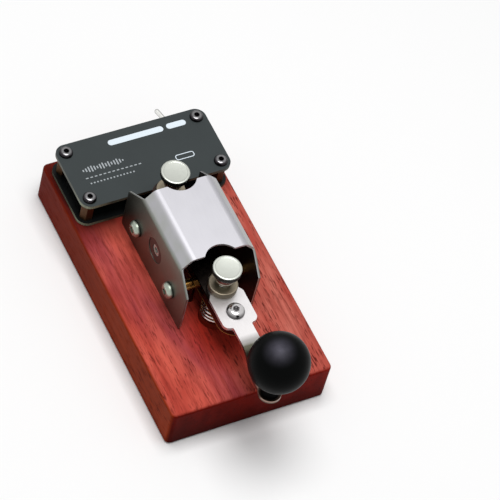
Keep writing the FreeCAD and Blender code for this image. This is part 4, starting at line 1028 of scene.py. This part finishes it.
def chip_leg(work, x, y, side, floor):
    """One bent leg: out of the resin, down, and flat on its pad."""
    thick = 0.18 * MM
    high = 0.75 * MM
    width = 0.4 * MM
    toe = 1.0 * MM
    path = [(0, high), (0.35 * MM, high), (0.55 * MM, thick), (toe, thick), (toe, 0),
            (0.42 * MM, 0), (0.24 * MM, high - thick), (0, high - thick)]
    outline = [(x - width / 2, y + side * out, floor + up) for out, up in path]
    extruded(work, outline, width, Vector((1, 0, 0)))


def hex_ring(work, centre, flats, bore, depth, sides=24):
    """A hexagon nut lying along Y, with a flat face below."""
    rings = []
    for radius, level in ((None, 0.0), (None, depth), (bore, depth), (bore, 0.0)):
        ring = []
        for step in range(sides):
            turn = FULL_TURN * step / sides
            reach = radius
            if reach is None:
                from_flat = (turn - math.pi / 6) % (math.pi / 3) - math.pi / 6
                reach = flats / 2 / math.cos(from_flat)
            place = (centre.x + reach * math.sin(turn), centre.y + level, centre.z + reach * math.cos(turn))
            ring.append(work.verts.new(place))
        rings.append(ring)
    closed_rings(work, rings)


def repeated(name, mesh, number, step, finish):
    """A mesh repeated along X."""
    inputs = {"Count": number, "Step": Vector((step, 0, 0)), "Finish": finish}
    return grown(name, mesh, [(repeat_tree(), inputs)])


def chip_legs(floor, tin):
    """Four bent legs on each long side of the chip."""
    low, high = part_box("driver_chip")
    first = low.x + 0.6 * MM
    for name, y, side in (("chip_legs_front", low.y, -1), ("chip_legs_rear", high.y, 1)):
        leg = mesh_from(name, lambda work: chip_leg(work, first, y, side, floor))
        piece(name, repeated(name, leg, 4, 1.27 * MM, tin), "base", None)


def resistors(floor, tin, resin):
    """Five small blocks in a row, with tinned caps at their ends."""
    left = -20.0 * MM
    right = -18.0 * MM
    front = 55.8 * MM
    depth = 1.25 * MM
    height = 0.55 * MM
    cap = 0.4 * MM
    spacing = 3.4 * MM

    def resistor(work):
        outline = [(left, front, floor), (right, front, floor),
                   (right, front, floor + height), (left, front, floor + height)]
        extruded(work, outline, depth, Vector((0, 1, 0)))
        for cut in (left + cap, right - cap):
            bmesh.ops.bisect_plane(work, geom=work.verts[:] + work.edges[:] + work.faces[:],
                                   plane_co=(cut, 0, 0), plane_no=(1, 0, 0))

    made = repeated("resistors", mesh_from("resistors", resistor), 5, spacing, resin)
    made.materials.append(tin)
    middle = (left + right) / 2
    for face in made.polygons:
        off_middle = (face.center.x - middle + spacing / 2) % spacing - spacing / 2
        if abs(off_middle) > (right - left) / 2 - cap:
            face.material_index = 1
    piece("resistors", made, "base", None)


def tinned_pads(floor, tin):
    """Six round solder pads in a row."""
    first = Vector((-21.0 * MM, 53.6 * MM, 0))
    radius = 0.8 * MM
    profile = [(0, floor), (radius, floor), (radius, floor + 0.1 * MM), (0.3 * MM, floor + 0.5 * MM),
               (0, floor + 0.55 * MM)]
    shaped = rounded(profile, 0.15 * MM)
    mesh = mesh_from("tinned_pads", lambda work: turn_profile(work, shaped, first, 20))
    made = repeated("tinned_pads", mesh, 6, 2.54 * MM, tin)
    smooth(made)
    piece("tinned_pads", made, "base", None)


def switch_nut(plating):
    """Hexagon nut and thread on the switch's bushing."""
    low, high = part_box("switch_bushing")
    radius = half_width("switch_bushing")
    flats = 8 * MM
    thickness = 1.5 * MM
    centre = Vector(((low.x + high.x) / 2, low.y + 0.25 * MM, (low.z + high.z) / 2))
    nut = mesh_from("switch_nut", lambda work: hex_ring(work, centre, flats, radius, thickness))
    thread_pitch = 0.5 * MM
    climb = high.y - low.y - 2.6 * MM
    ridge = {
        "Turns": climb / thread_pitch, "Radius": radius - 0.04 * MM, "Ridge": 0.13 * MM, "Height": climb,
        "Centre": Vector((centre.x, high.y - 0.4 * MM, centre.z)), "Lean": Vector((math.pi / 2, 0, 0)),
        "Finish": plating,
    }
    piece("switch_nut", grown("switch_nut", nut, [(thread_tree(), ridge)]), "base", None)


# Operators


class KEY_OT_finishes(bpy.types.Operator):
    """Wood, metal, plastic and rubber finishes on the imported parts"""

    bl_idname = "key.finishes"
    bl_label = "Finishes"

    def execute(self, context):
        tone = colours()
        dress(["base_block"], varnished_wood())
        # Painted shade: the lower plate takes the top plate's slate, darkened for the shade between the
        # plates
        dress(["circuit_board"],
              coated_plate("lower_plate_lacquer", "circuit_board", dark(tone.plate, 0.14)))
        dress(["module_top_plate"], coated_plate("top_plate_lacquer", "module_top_plate", tone.plate))
        dress(["cover"], cover_finish())
        dress(["knob_arm"], arm_finish())
        dress(["side_screws"], turned_metal("side_screw_plating", tone.plating, 0.36, wall_shade_ring))
        dress(["arm_screw"], turned_metal("arm_screw_steel", tone.arm, 0.15, rim_and_socket_shade))
        dress(["knob_screw"], turned_metal("screw_steel", tone.arm, 0.2))
        dress(["lever_bar"], lever_finish())
        dress(["coin_cell", "base_washers"], turned_metal("plain_steel", tone.steel, 0.28))
        dress(["switch_toggle"], toggle_finish())
        dress(["return_spring"], turned_metal("spring_steel", tone.spring, 0.26))
        dress(["module_base_screws", "frame_bolts", "post_screws"],
              black_oxide("black_oxide", tone.black_steel))
        dress(["module_top_screws"], lit_ring_heads())
        dress(["left_pivot_screw", "right_pivot_screw"], turned_metal("pivot_steel", tone.nickel, 0.42))
        # Painted shade on the pillars between the plates
        dress(["module_pillars"], turned_metal("aged_brass", tone.pillar_shade_brass, 0.5))
        dress(["front_cross_bar", "rear_cross_bar", "left_pivot_jam_nut", "right_pivot_jam_nut",
               "contact_post", "stop_post", "knob_insert", "wire_lugs"],
              turned_metal("turned_brass", tone.brass, 0.24))
        dress(["left_pivot_bush", "right_pivot_bush"], turned_metal("turned_bronze", tone.bronze, 0.55))
        dress(["ball_knob"], ball_finish())
        # Painted shade: the collar under the ball takes the black plastic, darkened further
        dress(["knob_collar"], moulded("collar_black", dark(tone.plastic, 0.3), 0.5, gloss=0.01))
        dress(["buzzer", "cell_holder", "audio_jack", "frame_wire"],
              moulded("black_moulding", tone.plastic, 0.42))
        dress(["driver_chip"], moulded("chip_resin", dark(tone.plastic, 1.4), 0.55, 0.15, 0.008))
        dress(["base_mat"], moulded("foam_rubber", tone.rubber, 0.85, 0.6, 0.08))
        dress(["switch_body"], moulded("switch_blue", tone.switch, 0.35))
        dress(["spring_seat"], moulded("seat_fibre", tone.fibre, 0.7, 0.4, 0.03))
        dress(["contact_wire"], moulded("red_insulation", tone.red_cable, 0.35, 0.8, 0.01, 0.2))
        dress(["signal_lamp"], lamp_lens())
        return {"FINISHED"}


class KEY_OT_thumb_screws(bpy.types.Operator):
    """Two thumb screws with knurled heads and cut threads, and their round lock nuts"""

    bl_idname = "key.thumb_screws"
    bl_label = "Thumb screws and nuts"

    def execute(self, context):
        tone = colours()
        knurl = knurl_tree()
        thread = thread_tree()
        finish = turned_metal("mottled_nickel", tone.nickel, 0.34)
        # Painted shade in the knurls' grooves: the upright faces between the teeth drawn dark
        root_shade = turned_metal("knurl_roots", dark(tone.nickel, 0.05), 0.5)
        collar = neck_finish()
        thumb_screw("contact_thumb_screw", "contact_screw", finish, root_shade, collar, knurl, thread)
        thumb_screw("stop_thumb_screw", "stop_screw", finish, root_shade, collar, knurl, thread)
        nut_finish = turned_metal("nut_steel", tone.nut, 0.36)
        # Painted shade in the lock nuts' knurl grooves
        nut_roots = turned_metal("nut_roots", dark(tone.nut, 0.55), 0.45)
        lock_nut("contact_lock_nut", "contact_nut", nut_finish, nut_roots, knurl)
        lock_nut("stop_lock_nut", "stop_nut", nut_finish, nut_roots, knurl)
        return {"FINISHED"}


class KEY_OT_prints(bpy.types.Operator):
    """Plain marks on the module's top plate: pills, a label frame, a sound wave, dashes and dots"""

    bl_idname = "key.prints"
    bl_label = "Printed marks"

    def execute(self, context):
        size = sizes()
        ink = print_ink("print_ink", colours().prints)
        fine = print_ink("fine_ink", colours().ink_fine)
        low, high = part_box("module_top_plate")
        floor = high.z - 0.01 * MM
        lift = high.z + size.print_height
        middle = (low.y + high.y) / 2

        def placed(left, right, front, rear):
            """Edges on the plate of a mark that is given in millimetres from the plate's middle."""
            return left * MM, right * MM, middle + front * MM, middle + rear * MM

        def pills(work):
            stadium(work, placed(-11.0, 13.7, 9.5, 12.2), floor, lift, 1.34 * MM)
            stadium(work, placed(15.3, 24.0, 9.65, 12.35), floor, lift, 1.34 * MM)
            outline_frame(work, placed(12.3, 20.6, -6.0, -3.3), floor, lift, 1.1 * MM, size.print_line)

        def marks(work):
            dash_start = -26.8
            dash_step = 1.95
            dash_length = 1.2
            for index in range(size.dash_count):
                left = dash_start + index * dash_step
                edges = placed(left, left + dash_length, -2.75, -2.25)
                stadium(work, edges, floor, lift, 0.24 * MM, 4)
            bar_start = -26.5
            bar_step = 1.25
            bar_width = 0.6
            bar_row = 1.4
            bar_reach = 1.5
            wave = (0.35, 0.6, 0.9, 1.0, 0.7, 0.45, 0.8, 1.0, 0.6, 0.9, 0.5, 0.75, 1.0, 0.65, 0.3)
            for index in range(size.bar_count):
                left = bar_start + index * bar_step
                reach = bar_reach * wave[index % len(wave)]
                edges = placed(left, left + bar_width, bar_row - reach, bar_row + reach)
                stadium(work, edges, floor, lift, 0.28 * MM, 4)

        piece("printed_labels", mesh_from("printed_labels", pills), "base", ink)
        mesh = mesh_from("module_prints", marks)
        mesh.materials.append(fine)
        row = {
            "Count": size.dot_count, "Start": Vector((-25.6 * MM, middle - 5.3 * MM, (floor + lift) / 2)),
            "Step": Vector((1.45 * MM, 0, 0)), "Size": Vector((size.dot, size.dot, lift - floor)),
            "Sides": 12, "Finish": fine,
        }
        made = grown("module_prints", mesh, [(row_tree(), row)])
        piece("module_prints", made, "base", None)
        return {"FINISHED"}


class KEY_OT_board(bpy.types.Operator):
    """Chip legs, small resistors and tinned pads on the circuit board, and the switch's thread and nut"""

    bl_idname = "key.board"
    bl_label = "Board parts"

    def execute(self, context):
        tone = colours()
        tin = turned_metal("tin", tone.solder, 0.3)
        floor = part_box("circuit_board")[1].z
        resin = moulded("resistor_body", dark(tone.plastic, 1.6), 0.5, 0.2, 0.006)
        chip_legs(floor, tin)
        resistors(floor, tin, resin)
        tinned_pads(floor, tin)
        switch_nut(turned_metal("bushing_plating", tone.nickel, 0.3))
        return {"FINISHED"}


class KEY_OT_stage(bpy.types.Operator):
    """Pale floor, plain soft light and the camera at the photograph's angle"""

    bl_idname = "key.stage"
    bl_label = "Stage"

    def execute(self, context):
        setting = context.scene.key_stage
        half = setting.floor_side / 2

        def square(work):
            corners = ((-half, -half, 0), (half, -half, 0), (half, half, 0), (-half, half, 0))
            work.faces.new([work.verts.new(corner) for corner in corners])

        mesh = mesh_from("floor", square)
        floor = bpy.data.objects.new("floor", mesh)
        context.collection.objects.link(floor)
        paper = Finish("pale_paper", setting.floor_colour, rough=0.9, specular_ior_level=0.0)
        mesh.materials.append(paper.material)

        lamp = bpy.data.lights.new("overhead_lamp", "AREA")
        lamp.energy = setting.overhead
        lamp.size = setting.overhead_side
        holder = bpy.data.objects.new("overhead_lamp", lamp)
        holder.location = (0, 0, setting.overhead_height)
        context.collection.objects.link(holder)

        world = bpy.data.worlds.new("studio")
        context.scene.world = world
        world.use_nodes = True
        back = world.node_tree.nodes["Background"]
        back.inputs["Color"].default_value = (1, 1, 1, 1)
        sky = Builder(world.node_tree)
        rays = sky.add("ShaderNodeLightPath", {}).node.outputs
        direct = sky.maths("MAXIMUM", rays["Is Camera Ray"], rays["Is Glossy Ray"])
        direct = sky.maths("MAXIMUM", direct, rays["Is Transmission Ray"])
        level = sky.span(direct, 0.0, 1.0, setting.sky, setting.backdrop)
        world.node_tree.links.new(level, back.inputs["Strength"])

        eye = bpy.data.cameras.new("photo_camera")
        eye.lens = setting.lens
        eye.sensor_width = 36.0
        eye.shift_x, eye.shift_y = setting.shift
        eye.clip_start = 0.01
        eye.clip_end = 50.0
        camera = bpy.data.objects.new("photo_camera", eye)
        context.collection.objects.link(camera)
        flat = math.cos(setting.elevation)
        back_axis = Vector((flat * math.sin(setting.azimuth), -flat * math.cos(setting.azimuth),
                            math.sin(setting.elevation)))
        side_axis = (-back_axis).cross(Vector((0, 0, 1))).normalized()
        up_axis = side_axis.cross(-back_axis)
        right = math.cos(setting.roll) * side_axis + math.sin(setting.roll) * up_axis
        up = -math.sin(setting.roll) * side_axis + math.cos(setting.roll) * up_axis
        turn = Matrix((right, up, back_axis)).transposed()
        camera.matrix_world = Matrix.Translation(setting.place) @ turn.to_4x4()
        context.scene.camera = camera
        context.scene.view_settings.view_transform = "Standard"
        return {"FINISHED"}


STEPS = (KEY_OT_finishes, KEY_OT_thumb_screws, KEY_OT_prints, KEY_OT_board, KEY_OT_stage)


class KEY_PT_panel(bpy.types.Panel):
    """All steps of the dressing, in order"""

    bl_idname = "KEY_PT_panel"
    bl_label = "Practice key"
    bl_space_type = "VIEW_3D"
    bl_region_type = "UI"
    bl_category = "Key"

    def draw(self, context):
        column = self.layout.column()
        for step in STEPS:
            column.operator(step.bl_idname)
        for group in (context.scene.key_sizes, context.scene.key_colours, context.scene.key_stage):
            box = self.layout.box()
            for prop in group.bl_rna.properties:
                if prop.identifier not in ("rna_type", "name"):
                    box.prop(group, prop.identifier)


CLASSES = (KeyColours, KeySizes, KeyStage, *STEPS, KEY_PT_panel)


def register():
    for item in CLASSES:
        bpy.utils.register_class(item)
    bpy.types.Scene.key_colours = bpy.props.PointerProperty(type=KeyColours)
    bpy.types.Scene.key_sizes = bpy.props.PointerProperty(type=KeySizes)
    bpy.types.Scene.key_stage = bpy.props.PointerProperty(type=KeyStage)


def unregister():
    for name in ("key_stage", "key_sizes", "key_colours"):
        delattr(bpy.types.Scene, name)
    for item in reversed(CLASSES):
        bpy.utils.unregister_class(item)


def main():
    register()
    bpy.ops.key.finishes()
    bpy.ops.key.thumb_screws()
    bpy.ops.key.prints()
    bpy.ops.key.board()
    bpy.ops.key.stage()


if __name__ == "__main__":
    main()
